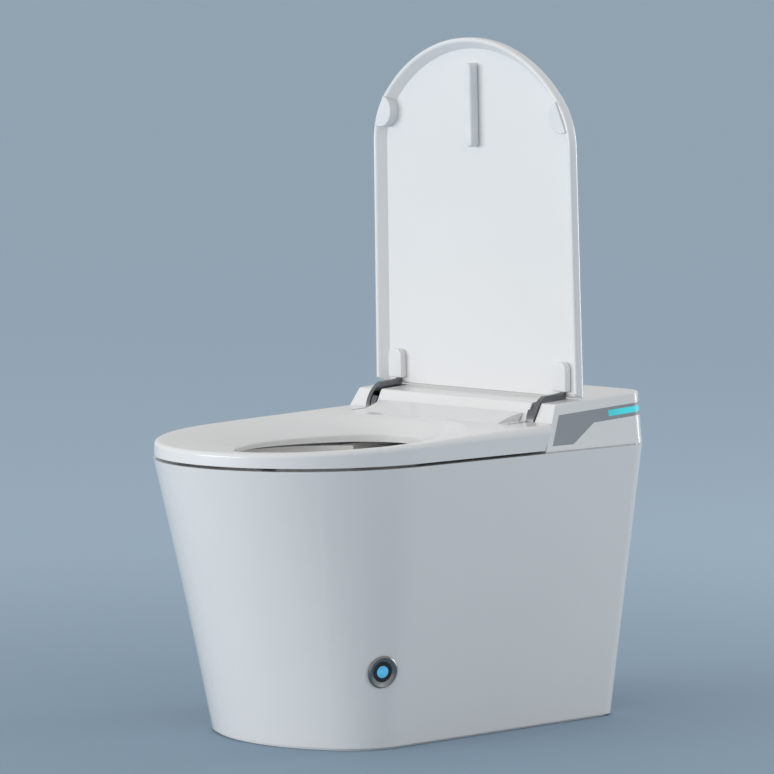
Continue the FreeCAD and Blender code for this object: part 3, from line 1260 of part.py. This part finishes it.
# Power button on the hidden side, with the switch behind it on the bracket.
button_front = "(cover_front + button_rise * tan(cover_front_lean))"
button_share = f"((button_y - {button_front}) / (rim_rear - rear_corner - {button_front}))"
button_lean = f"(tan(cover_side_lean) - tan(cover_flare) * {button_share})"
button_face = f"rim_half_width - button_rise * {button_lean} + 0.8"
button = rod("button_radius", (f"-({button_face})", "button_y", button_z), "10", "x", "button")
node(rounded(button, "1", lambda edge: all(v.Point.x < -number("rim_half_width") + 12 for v in edge.Vertexes)
             and edge.Length > 30, "button_round"), "power_button")
node(box((f"-({button_face}) + 13", f"-({bracket_high})"), ("button_y - 8", "button_y + 8"),
         (f"{button_z} - 9", f"{button_z} + 8"), "switch"), "button_switch")

# Flush: a tank under the deck, its pump and the hose to the jet in the sump.
deck_under = "rim_height - deck"
tank_low = f"{deck_under} - tank_height"
pump_z = f"{deck_under} - pump_drop"
port_end = "-pump_half_length - 14"
tank = box(("-tank_half_width", "tank_half_width"), ("tank_front", "tank_front + tank_length"),
           (tank_low, deck_under), "tank")
node(rounded(tank, "14", upright, "tank_round"), "flush_tank")
pump = joined(rod("pump_radius", ("-pump_half_length", "pump_y", pump_z), "2 * pump_half_length", "x",
                  "pump_can"), box(("-16", "16"), ("pump_y - 12", "pump_y + 12"), (f"{pump_z} + 15",
                                                                                   tank_low),
                                   "pump_neck"), rod("7", (port_end, "pump_y", pump_z), "14.5", "x",
                                                     "pump_port"), name="pump")
node(pump, "flush_pump")
HOSE = [(f"{port_end} - 0.6", "pump_y", pump_z), ("-hose_x", "pump_y", pump_z), ("-hose_x", "sump_y", jet_z),
        ("-sump_half_width - 12", "sump_y", jet_z)]
hose_points = [tuple(number(text) for text in point) for point in HOSE]
hose_bend = number("hose_bend")
hose_bore = pipe(hose_points, hose_bend, number("hose_bore"), "hose_inside")
node(cut(pipe(hose_points, hose_bend, number("hose_radius"), "hose_body"), hose_bore, name="hose"),
     "jet_hose")

# Write every piece after checking that nothing in the document failed.
doc.recompute()
for feature in doc.Objects:
    if "Invalid" in feature.State or "Error" in feature.State:
        raise RuntimeError(f"{feature.Name} did not build")
os.makedirs("parts", exist_ok=True)
for solid in NODES:
    if solid.Shape.isNull() or not solid.Shape.isValid():
        raise RuntimeError(f"{solid.Label} has no valid shape")
    solid.Shape.exportStep(f"parts/{solid.Label}.step")
print(len(NODES), "pieces written")
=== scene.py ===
import json
import math

import bmesh
import bpy
from mathutils import Matrix, Vector


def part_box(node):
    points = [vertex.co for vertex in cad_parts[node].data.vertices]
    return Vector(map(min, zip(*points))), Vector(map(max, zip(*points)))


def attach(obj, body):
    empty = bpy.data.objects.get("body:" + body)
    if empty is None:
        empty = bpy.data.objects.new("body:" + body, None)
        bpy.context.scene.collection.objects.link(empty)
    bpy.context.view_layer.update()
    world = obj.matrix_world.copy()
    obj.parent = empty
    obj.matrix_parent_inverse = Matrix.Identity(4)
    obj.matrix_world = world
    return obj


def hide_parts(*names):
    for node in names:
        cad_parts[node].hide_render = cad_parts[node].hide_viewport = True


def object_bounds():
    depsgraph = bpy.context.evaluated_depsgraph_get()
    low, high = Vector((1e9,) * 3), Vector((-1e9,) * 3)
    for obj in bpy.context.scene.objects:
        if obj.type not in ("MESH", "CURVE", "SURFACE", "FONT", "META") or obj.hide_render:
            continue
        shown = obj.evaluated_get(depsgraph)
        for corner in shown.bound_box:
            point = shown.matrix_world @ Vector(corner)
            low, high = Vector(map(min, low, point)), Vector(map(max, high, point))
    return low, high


# Bidet toilet with its lid open and its seat down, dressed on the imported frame.
# Metres, Z up, front toward -Y.
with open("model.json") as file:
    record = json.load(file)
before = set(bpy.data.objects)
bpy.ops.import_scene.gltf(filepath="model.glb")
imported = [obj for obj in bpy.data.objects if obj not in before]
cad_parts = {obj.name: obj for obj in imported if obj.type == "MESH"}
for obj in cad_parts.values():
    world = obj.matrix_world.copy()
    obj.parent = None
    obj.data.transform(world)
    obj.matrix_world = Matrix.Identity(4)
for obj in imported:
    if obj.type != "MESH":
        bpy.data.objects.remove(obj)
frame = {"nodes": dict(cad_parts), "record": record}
cad_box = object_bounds()
nodes = frame["nodes"]
scene = bpy.context.scene

# Ceramic body
# One vitreous casting under a clear glaze: skirt, deck, basin and trapway, standing on the floor.
# The glaze is deep and glossy, very slightly uneven in tone, with a faint orange-peel ripple.
WELD_GAP = 0.00002
CREASE_DEGREES = 30
TONE_LOW_END = 0.3
TONE_HIGH_END = 0.7
CLOUD_DETAIL = 3
GRAIN_DETAIL = 2


def soften(name, degrees=CREASE_DEGREES):
    """Shades a CAD node as one skin: its faces are welded and only real corners stay sharp."""
    weld = nodes[name].modifiers.new("weld", "WELD")
    weld.merge_threshold = WELD_GAP
    split = nodes[name].modifiers.new("corners", "EDGE_SPLIT")
    split.split_angle = math.radians(degrees)
    normal = nodes[name].modifiers.new("normals", "WEIGHTED_NORMAL")
    normal.keep_sharp = True


def surface(name, low, high, cloud, gloss, grain, bump, **sockets):
    """A Principled material whose tone, roughness and bump come from noise on Object coordinates.

    The tone drifts between the colours low and high. cloud and grain are noise scales per metre, gloss is
    the range of roughness and bump is a height in metres. sockets are plain values for other inputs of the
    shader, with an underscore for each space in their names."""
    material = bpy.data.materials.new(name)
    material.use_nodes = True
    tree = material.node_tree
    shader = tree.nodes["Principled BSDF"]
    for socket, value in sockets.items():
        shader.inputs[socket.replace("_", " ")].default_value = value
    place = tree.nodes.new("ShaderNodeTexCoord")

    drift = tree.nodes.new("ShaderNodeTexNoise")
    drift.inputs["Scale"].default_value = cloud
    drift.inputs["Detail"].default_value = CLOUD_DETAIL
    tree.links.new(place.outputs["Object"], drift.inputs["Vector"])
    tone = tree.nodes.new("ShaderNodeValToRGB")
    tone.color_ramp.elements[0].position = TONE_LOW_END
    tone.color_ramp.elements[0].color = (*low, 1)
    tone.color_ramp.elements[1].position = TONE_HIGH_END
    tone.color_ramp.elements[1].color = (*high, 1)
    tree.links.new(drift.outputs["Fac"], tone.inputs["Fac"])
    tree.links.new(tone.outputs["Color"], shader.inputs["Base Color"])

    fine = tree.nodes.new("ShaderNodeTexNoise")
    fine.inputs["Scale"].default_value = grain
    fine.inputs["Detail"].default_value = GRAIN_DETAIL
    tree.links.new(place.outputs["Object"], fine.inputs["Vector"])
    rough = tree.nodes.new("ShaderNodeMapRange")
    rough.inputs["To Min"].default_value = gloss[0]
    rough.inputs["To Max"].default_value = gloss[1]
    tree.links.new(fine.outputs["Fac"], rough.inputs["Value"])
    tree.links.new(rough.outputs["Result"], shader.inputs["Roughness"])
    relief = tree.nodes.new("ShaderNodeBump")
    relief.inputs["Strength"].default_value = 1
    relief.inputs["Distance"].default_value = bump
    tree.links.new(fine.outputs["Fac"], relief.inputs["Height"])
    tree.links.new(relief.outputs["Normal"], shader.inputs["Normal"])
    return material


def dress(material, *names):
    """Gives CAD nodes one material."""
    for name in names:
        nodes[name].data.materials.clear()
        nodes[name].data.materials.append(material)


glaze = surface("glazed_white", low=(0.832, 0.825, 0.813), high=(0.862, 0.855, 0.842), cloud=2.5,
                gloss=(0.16, 0.24), grain=45, bump=0.00006, Coat_Weight=0.5, Coat_Roughness=0.05)
dress(glaze, "ceramic_bowl")
soften("ceramic_bowl")

# Seat and rear cover
# Injection-moulded white plastic with a soft gloss: the dished seat and the ramp behind it, closed from
# below by a base plate, and the leaning housing of the rear unit, which stands on the deck.
moulded = surface("white_plastic", low=(0.82, 0.822, 0.82), high=(0.845, 0.847, 0.845), cloud=4,
                  gloss=(0.16, 0.22), grain=160, bump=0.00002, Specular_IOR_Level=0.45)
dress(moulded, "seat_top", "seat_bridge", "seat_base", "unit_cover")
for name in ("seat_top", "seat_bridge", "unit_cover"):
    soften(name)

# Lid
# The hollow lid, moulded like the seat and a little wider at its foot than at its shoulders. From its
# narrow lip a leaning wall runs down into a shallow recess, open at the foot, where the lugs are screwed on.
HINGE = next(Vector(joint["pos_m"]) for joint in frame["record"]["behaviour"]["joints"]
             if joint["name"] == "lid_hinge")
BODY_HALF = cad_box[1][0]
LID_LEAN = math.radians(1.7)
LID_BEHIND_HINGE = 0.010
LID_SHOULDER_HALF = BODY_HALF - 0.014
LID_FOOT_HALF = BODY_HALF - 0.0095
LID_TOP = 0.5089
LID_SHOULDER = 0.363
LID_ARC_MEET = math.radians(39.3)
LID_CUT = 0.0405
LID_CUT_NORMAL = (0, 8, 18)
LID_THICK = 0.018
LID_BACK_ROUND = 0.008
LID_RIM_ROUND = 0.003
LID_LIP = 0.0055
LID_LIP_ROLL = 0.002
LID_RECESS = 0.013
LID_WALL_RUN = 0.0095
SIDE_ARC_STEPS = 16
TOP_ARC_STEPS = 48
FLAT = 0.00001


def sweep(form, vert, middle, angle, steps):
    """Sweeps a vertex over the top from right to left, round a point in the lid's plane.

    Gives the last vertex of the arc."""
    swept = bmesh.ops.spin(form, geom=[vert], cent=middle, axis=(0, -1, 0), angle=angle, steps=steps)
    return next(item for item in swept["geom_last"] if isinstance(item, bmesh.types.BMVert))


def edges_at(form, depth):
    """The edges that lie at one depth behind the lid's inner plane."""
    return [edge for edge in form.edges if all(abs(vert.co.y - depth) < FLAT for vert in edge.verts)]


def round_edges(form, edges, radius, segments=4):
    """Rounds edges of a form."""
    bmesh.ops.bevel(form, geom=edges, offset=radius, offset_type="OFFSET", segments=segments, profile=0.5,
                    affect="EDGES", material=-1)


def everything(form):
    """All the geometry of a form."""
    return form.verts[:] + form.edges[:] + form.faces[:]


def cap(form):
    """Closes the opening that a cut has left in a form."""
    bmesh.ops.contextual_create(form, geom=[edge for edge in form.edges if edge.is_boundary])


# One wide arc over the top and a tighter one on each side, all tangent where they meet.
rise = LID_TOP - LID_SHOULDER
sine = math.sin(LID_ARC_MEET)
cosine = math.cos(LID_ARC_MEET)
spare = sine + cosine - 1
top_radius = (LID_SHOULDER_HALF * sine - rise * (1 - cosine)) / spare
side_radius = (rise * cosine - LID_SHOULDER_HALF * (1 - sine)) / spare
side_middle = LID_SHOULDER_HALF - side_radius
top_middle = LID_TOP - top_radius

lid_form = bmesh.new()
foot_right = lid_form.verts.new((LID_FOOT_HALF, 0, 0))
foot_left = lid_form.verts.new((-LID_FOOT_HALF, 0, 0))
shoulder_right = lid_form.verts.new((LID_SHOULDER_HALF, 0, LID_SHOULDER))
corner_right = sweep(lid_form, shoulder_right, (side_middle, 0, LID_SHOULDER), LID_ARC_MEET, SIDE_ARC_STEPS)
corner_left = sweep(lid_form, corner_right, (0, 0, top_middle), math.pi - 2 * LID_ARC_MEET, TOP_ARC_STEPS)
shoulder_left = sweep(lid_form, corner_left, (-side_middle, 0, LID_SHOULDER), LID_ARC_MEET, SIDE_ARC_STEPS)
for pair in ((shoulder_left, foot_left), (foot_left, foot_right), (foot_right, shoulder_right)):
    lid_form.edges.new(pair)
outline = bmesh.ops.contextual_create(lid_form, geom=lid_form.edges[:])["faces"]

plate = bmesh.ops.extrude_face_region(lid_form, geom=outline)
back = [item for item in plate["geom"] if isinstance(item, bmesh.types.BMVert)]
bmesh.ops.translate(lid_form, verts=back, vec=(0, LID_THICK, 0))
bmesh.ops.recalc_face_normals(lid_form, faces=lid_form.faces)
round_edges(lid_form, edges_at(lid_form, LID_THICK), LID_BACK_ROUND, segments=5)
round_edges(lid_form, edges_at(lid_form, 0), LID_RIM_ROUND)

inner = max((face for face in lid_form.faces if face.normal.y < 0), key=lambda face: face.calc_area())
bmesh.ops.inset_individual(lid_form, faces=[inner], thickness=LID_LIP - LID_RIM_ROUND, use_even_offset=True)
lip = list(inner.edges)
bmesh.ops.inset_individual(lid_form, faces=[inner], thickness=LID_WALL_RUN, depth=-LID_RECESS,
                           use_even_offset=True)
round_edges(lid_form, lip, LID_LIP_ROLL)
bmesh.ops.bisect_plane(lid_form, geom=everything(lid_form), plane_co=(0, 0, LID_CUT),
                       plane_no=LID_CUT_NORMAL, clear_inner=True)
cap(lid_form)
bmesh.ops.recalc_face_normals(lid_form, faces=lid_form.faces)
lean = Matrix.Rotation(LID_LEAN, 4, "X")
lid_place = Matrix.Translation(HINGE) @ lean @ Matrix.Translation((0, LID_BEHIND_HINGE, 0))


def lid_piece(name, form, material, replaced):
    """Puts a form made in the lid's own plane in its place on the leaning lid, as a finished piece."""
    bmesh.ops.transform(form, matrix=lid_place, verts=form.verts)
    for face in form.faces:
        face.smooth = True
    mesh = bpy.data.meshes.new(name)
    form.to_mesh(mesh)
    form.free()
    mesh.materials.append(material)
    made = bpy.data.objects.new(name, mesh)
    scene.collection.objects.link(made)
    made.modifiers.new("corners", "EDGE_SPLIT").split_angle = math.radians(CREASE_DEGREES)
    made.modifiers.new("normals", "WEIGHTED_NORMAL").keep_sharp = True
    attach(made, "lid")
    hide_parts(replaced)


lid_piece("lid", lid_form, moulded, "lid_shell")

# Lid pads
# Two round pads of soft white rubber, pressed into the recess at the lid's shoulders and trimmed flat
# along the lip. They stand a little proud of the lip, so that the closed lid comes down on them.
PAD_RADIUS = 0.022
PAD_STAND = 0.0026
PAD_INSET = 0.016
PAD_BELOW_TOP = 0.10213
PAD_ROUND = 0.0018
PAD_SEGMENTS = 64
silicone = surface("soft_white", low=(0.78, 0.79, 0.80), high=(0.84, 0.85, 0.86), cloud=30,
                   gloss=(0.55, 0.65), grain=700, bump=0.00003)

pad_height = LID_TOP - PAD_BELOW_TOP
pad_middle = Vector((LID_SHOULDER_HALF - PAD_INSET, (LID_RECESS - PAD_STAND) / 2, pad_height))
pad_turn = math.asin((pad_height - LID_SHOULDER) / side_radius)
pad_outward = Vector((math.cos(pad_turn), 0, math.sin(pad_turn)))
pad_trim = Vector((side_middle, 0, LID_SHOULDER)) + pad_outward * (side_radius - LID_LIP)

pad_form = bmesh.new()
bmesh.ops.create_cone(pad_form, cap_ends=True, segments=PAD_SEGMENTS, radius1=PAD_RADIUS, radius2=PAD_RADIUS,
                      depth=LID_RECESS + PAD_STAND,
                      matrix=Matrix.Translation(pad_middle) @ Matrix.Rotation(math.pi / 2, 4, "X"))
round_edges(pad_form, edges_at(pad_form, -PAD_STAND), PAD_ROUND)
bmesh.ops.bisect_plane(pad_form, geom=everything(pad_form), plane_co=pad_trim, plane_no=pad_outward,
                       clear_outer=True)
cap(pad_form)
bmesh.ops.mirror(pad_form, geom=everything(pad_form), axis="X", merge_dist=0)
bmesh.ops.recalc_face_normals(pad_form, faces=pad_form.faces)
lid_piece("lid_pads", pad_form, silicone, "lid_side_buffers")

# Lid strip and lugs
# A long strip of the same rubber in the middle of the recess, and the white plastic lugs that hold the
# lid's arms, screwed on at its foot. Their corners are rounded over.
STRIP_ROUND = 0.003
LUG_ROUND = 0.002
SHARP_DEGREES = 40
JOIN_DEGREES = 1


def round_over(name, width, segments=4):
    """Rounds the corners of a CAD node over: its flat faces are joined, then its sharp edges are bevelled."""
    weld = nodes[name].modifiers.new("weld", "WELD")
    weld.merge_threshold = WELD_GAP
    flat = nodes[name].modifiers.new("flats", "DECIMATE")
    flat.decimate_type = "DISSOLVE"
    flat.angle_limit = math.radians(JOIN_DEGREES)
    edge = nodes[name].modifiers.new("edges", "BEVEL")
    edge.width = width
    edge.segments = segments
    edge.limit_method = "ANGLE"
    edge.angle_limit = math.radians(SHARP_DEGREES)
    normal = nodes[name].modifiers.new("normals", "WEIGHTED_NORMAL")
    normal.keep_sharp = True


dress(silicone, "lid_front_buffer")
dress(moulded, "lid_lugs")
round_over("lid_front_buffer", STRIP_ROUND)
round_over("lid_lugs", LUG_ROUND)

# Side panels
# Dark satin plastic inlays with a fine spark-eroded texture, let flush into both sides of the housing.
satin = surface("dark_panel", low=(0.28, 0.305, 0.33), high=(0.31, 0.335, 0.36), cloud=14,
                gloss=(0.36, 0.46), grain=900, bump=0.00003)
dress(satin, "side_panel_right", "side_panel_left")

# Light bars
# Cyan plastic diffusers, set into the panels and lit from behind, a little dimmer toward their ends.
DIFFUSER_ROUGHNESS = 0.45
DIFFUSER_SHADE = 0.85
BAR_COLOUR = (0.036, 0.56, 0.64)
BAR_DIM = 0.82


def lit(name, colour, dim, axis, low, high):
    """A diffuser that glows and fades from its middle to its ends along one axis of Object coordinates.

    dim is the share of the glow that is left at the ends, which lie at low and high."""
    material = bpy.data.materials.new(name)
    material.use_nodes = True
    tree = material.node_tree
    shader = tree.nodes["Principled BSDF"]
    shader.inputs["Roughness"].default_value = DIFFUSER_ROUGHNESS
    shader.inputs["Emission Strength"].default_value = 1
    place = tree.nodes.new("ShaderNodeTexCoord")
    split = tree.nodes.new("ShaderNodeSeparateXYZ")
    tree.links.new(place.outputs["Object"], split.inputs["Vector"])
    along = tree.nodes.new("ShaderNodeMapRange")
    along.inputs["From Min"].default_value = low
    along.inputs["From Max"].default_value = high
    tree.links.new(split.outputs[axis], along.inputs["Value"])
    glow = tree.nodes.new("ShaderNodeValToRGB")
    glow.color_ramp.interpolation = "EASE"
    for element, position in zip(glow.color_ramp.elements, (0, 1)):
        element.position = position
        element.color = (*[part * dim for part in colour], 1)
    middle = glow.color_ramp.elements.new(0.5)
    middle.color = (*colour, 1)
    tree.links.new(along.outputs["Result"], glow.inputs["Fac"])
    tree.links.new(glow.outputs["Color"], shader.inputs["Emission Color"])
    body = tree.nodes.new("ShaderNodeMix")
    body.data_type = "RGBA"
    body.inputs["Factor"].default_value = DIFFUSER_SHADE
    body.inputs["B"].default_value = (0, 0, 0, 1)
    tree.links.new(glow.outputs["Color"], body.inputs["A"])
    tree.links.new(body.outputs["Result"], shader.inputs["Base Color"])
    return material


bar_low, bar_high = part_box("light_bar_right")
bar_glow = lit("light_cyan", BAR_COLOUR, BAR_DIM, "Y", bar_low[1], bar_high[1])
dress(bar_glow, "light_bar_right", "light_bar_left")

# Foot sensor
# A bezel of dark satin chrome with a black window and a blue light in its middle, low on the skirt,
# held from behind by its case.
DOT_COLOUR = (0.085, 0.39, 0.66)
DOT_DIM = 0.75
BEZEL_CREASE = 20
dark_chrome = surface("dark_chrome", low=(0.25, 0.252, 0.252), high=(0.31, 0.312, 0.312), cloud=60,
                      gloss=(0.28, 0.36), grain=1200, bump=0.00001, Metallic=1)
black_glass = surface("black_window", low=(0.008, 0.008, 0.01), high=(0.014, 0.014, 0.016), cloud=50,
                      gloss=(0.08, 0.14), grain=300, bump=0.00001, Coat_Weight=0.6, Coat_Roughness=0.03)
dot_low, dot_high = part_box("sensor_light")
dot_glow = lit("light_blue", DOT_COLOUR, DOT_DIM, "Z", dot_low[2], dot_high[2])
dress(dark_chrome, "sensor_bezel")
dress(black_glass, "sensor_window")
dress(dot_glow, "sensor_light")
soften("sensor_bezel", BEZEL_CREASE)

# Hinge arms
# Pressed steel straps in dark satin chrome that run from the seat and the lid round the front of the
# housing, through its slots, to the hinge pins.
ARMS = ("seat_arm_right", "seat_arm_left", "lid_arm_right", "lid_arm_left")
chrome = surface("chrome_arm", low=(0.18, 0.193, 0.205), high=(0.225, 0.238, 0.25), cloud=40,
                 gloss=(0.18, 0.26), grain=800, bump=0.00001, Metallic=1)
dress(chrome, *ARMS)
for name in ARMS:
    soften(name)

# Steel hardware
# Plain zinc-grey screws, bolts, nuts, pins and brackets, the nozzle's tube and the can of its motor.
steel = surface("steel", low=(0.44, 0.44, 0.45), high=(0.58, 0.58, 0.59), cloud=90,
                gloss=(0.26, 0.42), grain=1500, bump=0.00001, Metallic=1)
dress(steel, "seat_screws", "lid_screws", "unit_bolts", "unit_nuts", "hinge_bracket_right",
      "hinge_bracket_left", "hinge_pin_right", "hinge_pin_left", "nozzle_wand", "nozzle_motor")

# Nozzle and dryer mouldings
# White plastic cradle, tip, frame, shutter, duct and flap, set in the front of the housing and moulded
# in a plainer finish than the outside.
duct_white = surface("nozzle_white", low=(0.72, 0.73, 0.735), high=(0.77, 0.78, 0.785), cloud=20,
                     gloss=(0.36, 0.46), grain=500, bump=0.00002)
dress(duct_white, "nozzle_tip", "nozzle_cradle", "nozzle_frame", "nozzle_shutter", "dryer_duct", "dryer_flap")

# Rubber
# Black seals, the pads under the seat and the cord gland, pressed into their places, dull with a fine
# dusty grain.
rubber = surface("black_rubber", low=(0.022, 0.022, 0.023), high=(0.04, 0.04, 0.041), cloud=60,
                 gloss=(0.7, 0.85), grain=1400, bump=0.00004)
dress(rubber, "drain_seal", "sensor_gasket", "seat_buffers", "cord_gland")

# Housings inside and the button
# Grey and black moulded modules in the rear unit and behind the skirt: base tray, tank, valve, heater,
# drives, blower, pump and switch. The power button in the left panel is of the same grey.
grey = surface("grey_plastic", low=(0.31, 0.32, 0.33), high=(0.37, 0.38, 0.39), cloud=25,
               gloss=(0.45, 0.58), grain=900, bump=0.00003)
black = surface("black_plastic", low=(0.03, 0.03, 0.034), high=(0.05, 0.05, 0.055), cloud=30,
                gloss=(0.42, 0.56), grain=1000, bump=0.00003)
dress(grey, "drain_connector", "unit_base", "solenoid_valve", "water_heater", "power_button", "flush_tank")
dress(black, "sensor_case", "lid_drive", "seat_drive", "nozzle_pinion", "dryer_blower", "button_switch",
      "flush_pump")

# Heater film, inlet, board and hose
# Copper-brown film under the seat's skin, the brass thread for the water supply, a green circuit board
# in the rear unit and the grey rubber hose of the flush jet.
film = surface("heater_film", low=(0.48, 0.28, 0.10), high=(0.58, 0.35, 0.13), cloud=40,
               gloss=(0.35, 0.45), grain=600, bump=0.00002)
brass = surface("brass", low=(0.62, 0.47, 0.22), high=(0.74, 0.58, 0.30), cloud=70,
                gloss=(0.25, 0.38), grain=1200, bump=0.00001, Metallic=1)
board = surface("board_green", low=(0.022, 0.16, 0.07), high=(0.035, 0.22, 0.10), cloud=120,
                gloss=(0.35, 0.5), grain=900, bump=0.00003)
hose = surface("grey_hose", low=(0.40, 0.41, 0.42), high=(0.48, 0.49, 0.50), cloud=40,
               gloss=(0.55, 0.68), grain=700, bump=0.00003)
dress(film, "seat_heater")
dress(brass, "water_inlet")
dress(board, "control_board")
dress(hose, "jet_hose")

# Floor
# A painted studio floor in pale blue, far larger than the view, with painted shade: its colour is darker
# round the object.
FLOOR_HALF = 110
FLOOR_CELLS = 8
# Painted shade: the floor's colour close to the object, darker than far off, and how far out it fades.
FLOOR_PAINTED_SHADE = (0.29, 0.395, 0.50)
FLOOR_FAR = (0.425, 0.555, 0.675)
FLOOR_SHADE_REACH = 2.4
FLOOR_ROUGHNESS = 0.9
FLOOR_SPECULAR = 0.1

sheet = bmesh.new()
bmesh.ops.create_grid(sheet, x_segments=FLOOR_CELLS, y_segments=FLOOR_CELLS, size=FLOOR_HALF)
floor_mesh = bpy.data.meshes.new("floor")
sheet.to_mesh(floor_mesh)
sheet.free()
floor = bpy.data.objects.new("floor", floor_mesh)
scene.collection.objects.link(floor)

floor_paint = bpy.data.materials.new("floor_paint")
floor_paint.use_nodes = True
floor_tree = floor_paint.node_tree
floor_shader = floor_tree.nodes["Principled BSDF"]
floor_shader.inputs["Roughness"].default_value = FLOOR_ROUGHNESS
floor_shader.inputs["Specular IOR Level"].default_value = FLOOR_SPECULAR
floor_place = floor_tree.nodes.new("ShaderNodeTexCoord")
distance = floor_tree.nodes.new("ShaderNodeVectorMath")
distance.operation = "LENGTH"
floor_tree.links.new(floor_place.outputs["Object"], distance.inputs[0])
# Painted shade: the colour goes from dark at the object's middle to pale further out.
fade = floor_tree.nodes.new("ShaderNodeMapRange")
fade.interpolation_type = "SMOOTHSTEP"
fade.inputs["From Max"].default_value = FLOOR_SHADE_REACH
floor_tree.links.new(distance.outputs["Value"], fade.inputs["Value"])
paint = floor_tree.nodes.new("ShaderNodeValToRGB")
paint.color_ramp.elements[0].color = (*FLOOR_PAINTED_SHADE, 1)
paint.color_ramp.elements[1].color = (*FLOOR_FAR, 1)
floor_tree.links.new(fade.outputs["Result"], paint.inputs["Fac"])
floor_tree.links.new(paint.outputs["Color"], floor_shader.inputs["Base Color"])
floor_mesh.materials.append(floor_paint)

# Studio light
# An even pale sky, a wide soft key low in front and to the left, a weak fill from the right, and a narrow
# lamp behind that lights the rear corner's edge.
SKY = (0.635, 0.637, 0.64)
LIGHT_AIM = Vector((0, 0, 0.35))


def softbox(name, azimuth, elevation, away, width, height, watts):
    """A rectangular lamp aimed at the object's middle, hidden from the camera. Azimuth 0 is in front."""
    turn = math.radians(azimuth)
    lift = math.radians(elevation)
    lamp = bpy.data.lights.new(name, "AREA")
    lamp.shape = "RECTANGLE"
    lamp.size = width
    lamp.size_y = height
    lamp.energy = watts
    holder = bpy.data.objects.new(name, lamp)
    toward = Vector((math.sin(turn) * math.cos(lift), -math.cos(turn) * math.cos(lift), math.sin(lift)))
    holder.location = LIGHT_AIM + away * toward
    holder.rotation_euler = toward.to_track_quat("Z", "Y").to_euler()
    holder.visible_camera = False
    scene.collection.objects.link(holder)


softbox("key", azimuth=-20, elevation=6, away=7.5, width=5.6, height=1.7, watts=258)
softbox("fill", azimuth=105, elevation=10, away=4.4, width=1.0, height=1.8, watts=7)
softbox("edge", azimuth=163, elevation=4, away=4.0, width=0.8, height=2.2, watts=40)

world = bpy.data.worlds.new("sky")
world.use_nodes = True
world.node_tree.nodes["Background"].inputs["Color"].default_value = (*SKY, 1)
scene.world = world

# Camera
# A long lens from the front right, a little higher than the open lid, at the photograph's angle.
CAMERA_SPOT = (4.989, -4.877, 1.076)
CAMERA_AZIMUTH = math.radians(45.5)
CAMERA_DROP = math.radians(5.1)
CAMERA_REACH = 400
SENSOR_WIDTH = 36
FOCAL_PIXELS = 5292
FRAME_PIXELS = 774

lens = bpy.data.cameras.new("camera")
lens.sensor_width = SENSOR_WIDTH
lens.lens = SENSOR_WIDTH * FOCAL_PIXELS / FRAME_PIXELS
lens.clip_end = CAMERA_REACH
camera = bpy.data.objects.new("camera", lens)
camera.location = CAMERA_SPOT
view = Vector((-math.sin(CAMERA_AZIMUTH) * math.cos(CAMERA_DROP),
               math.cos(CAMERA_AZIMUTH) * math.cos(CAMERA_DROP),
               -math.sin(CAMERA_DROP)))
camera.rotation_euler = view.to_track_quat("-Z", "Y").to_euler()
scene.collection.objects.link(camera)
scene.camera = camera
scene.view_settings.view_transform = "Standard"
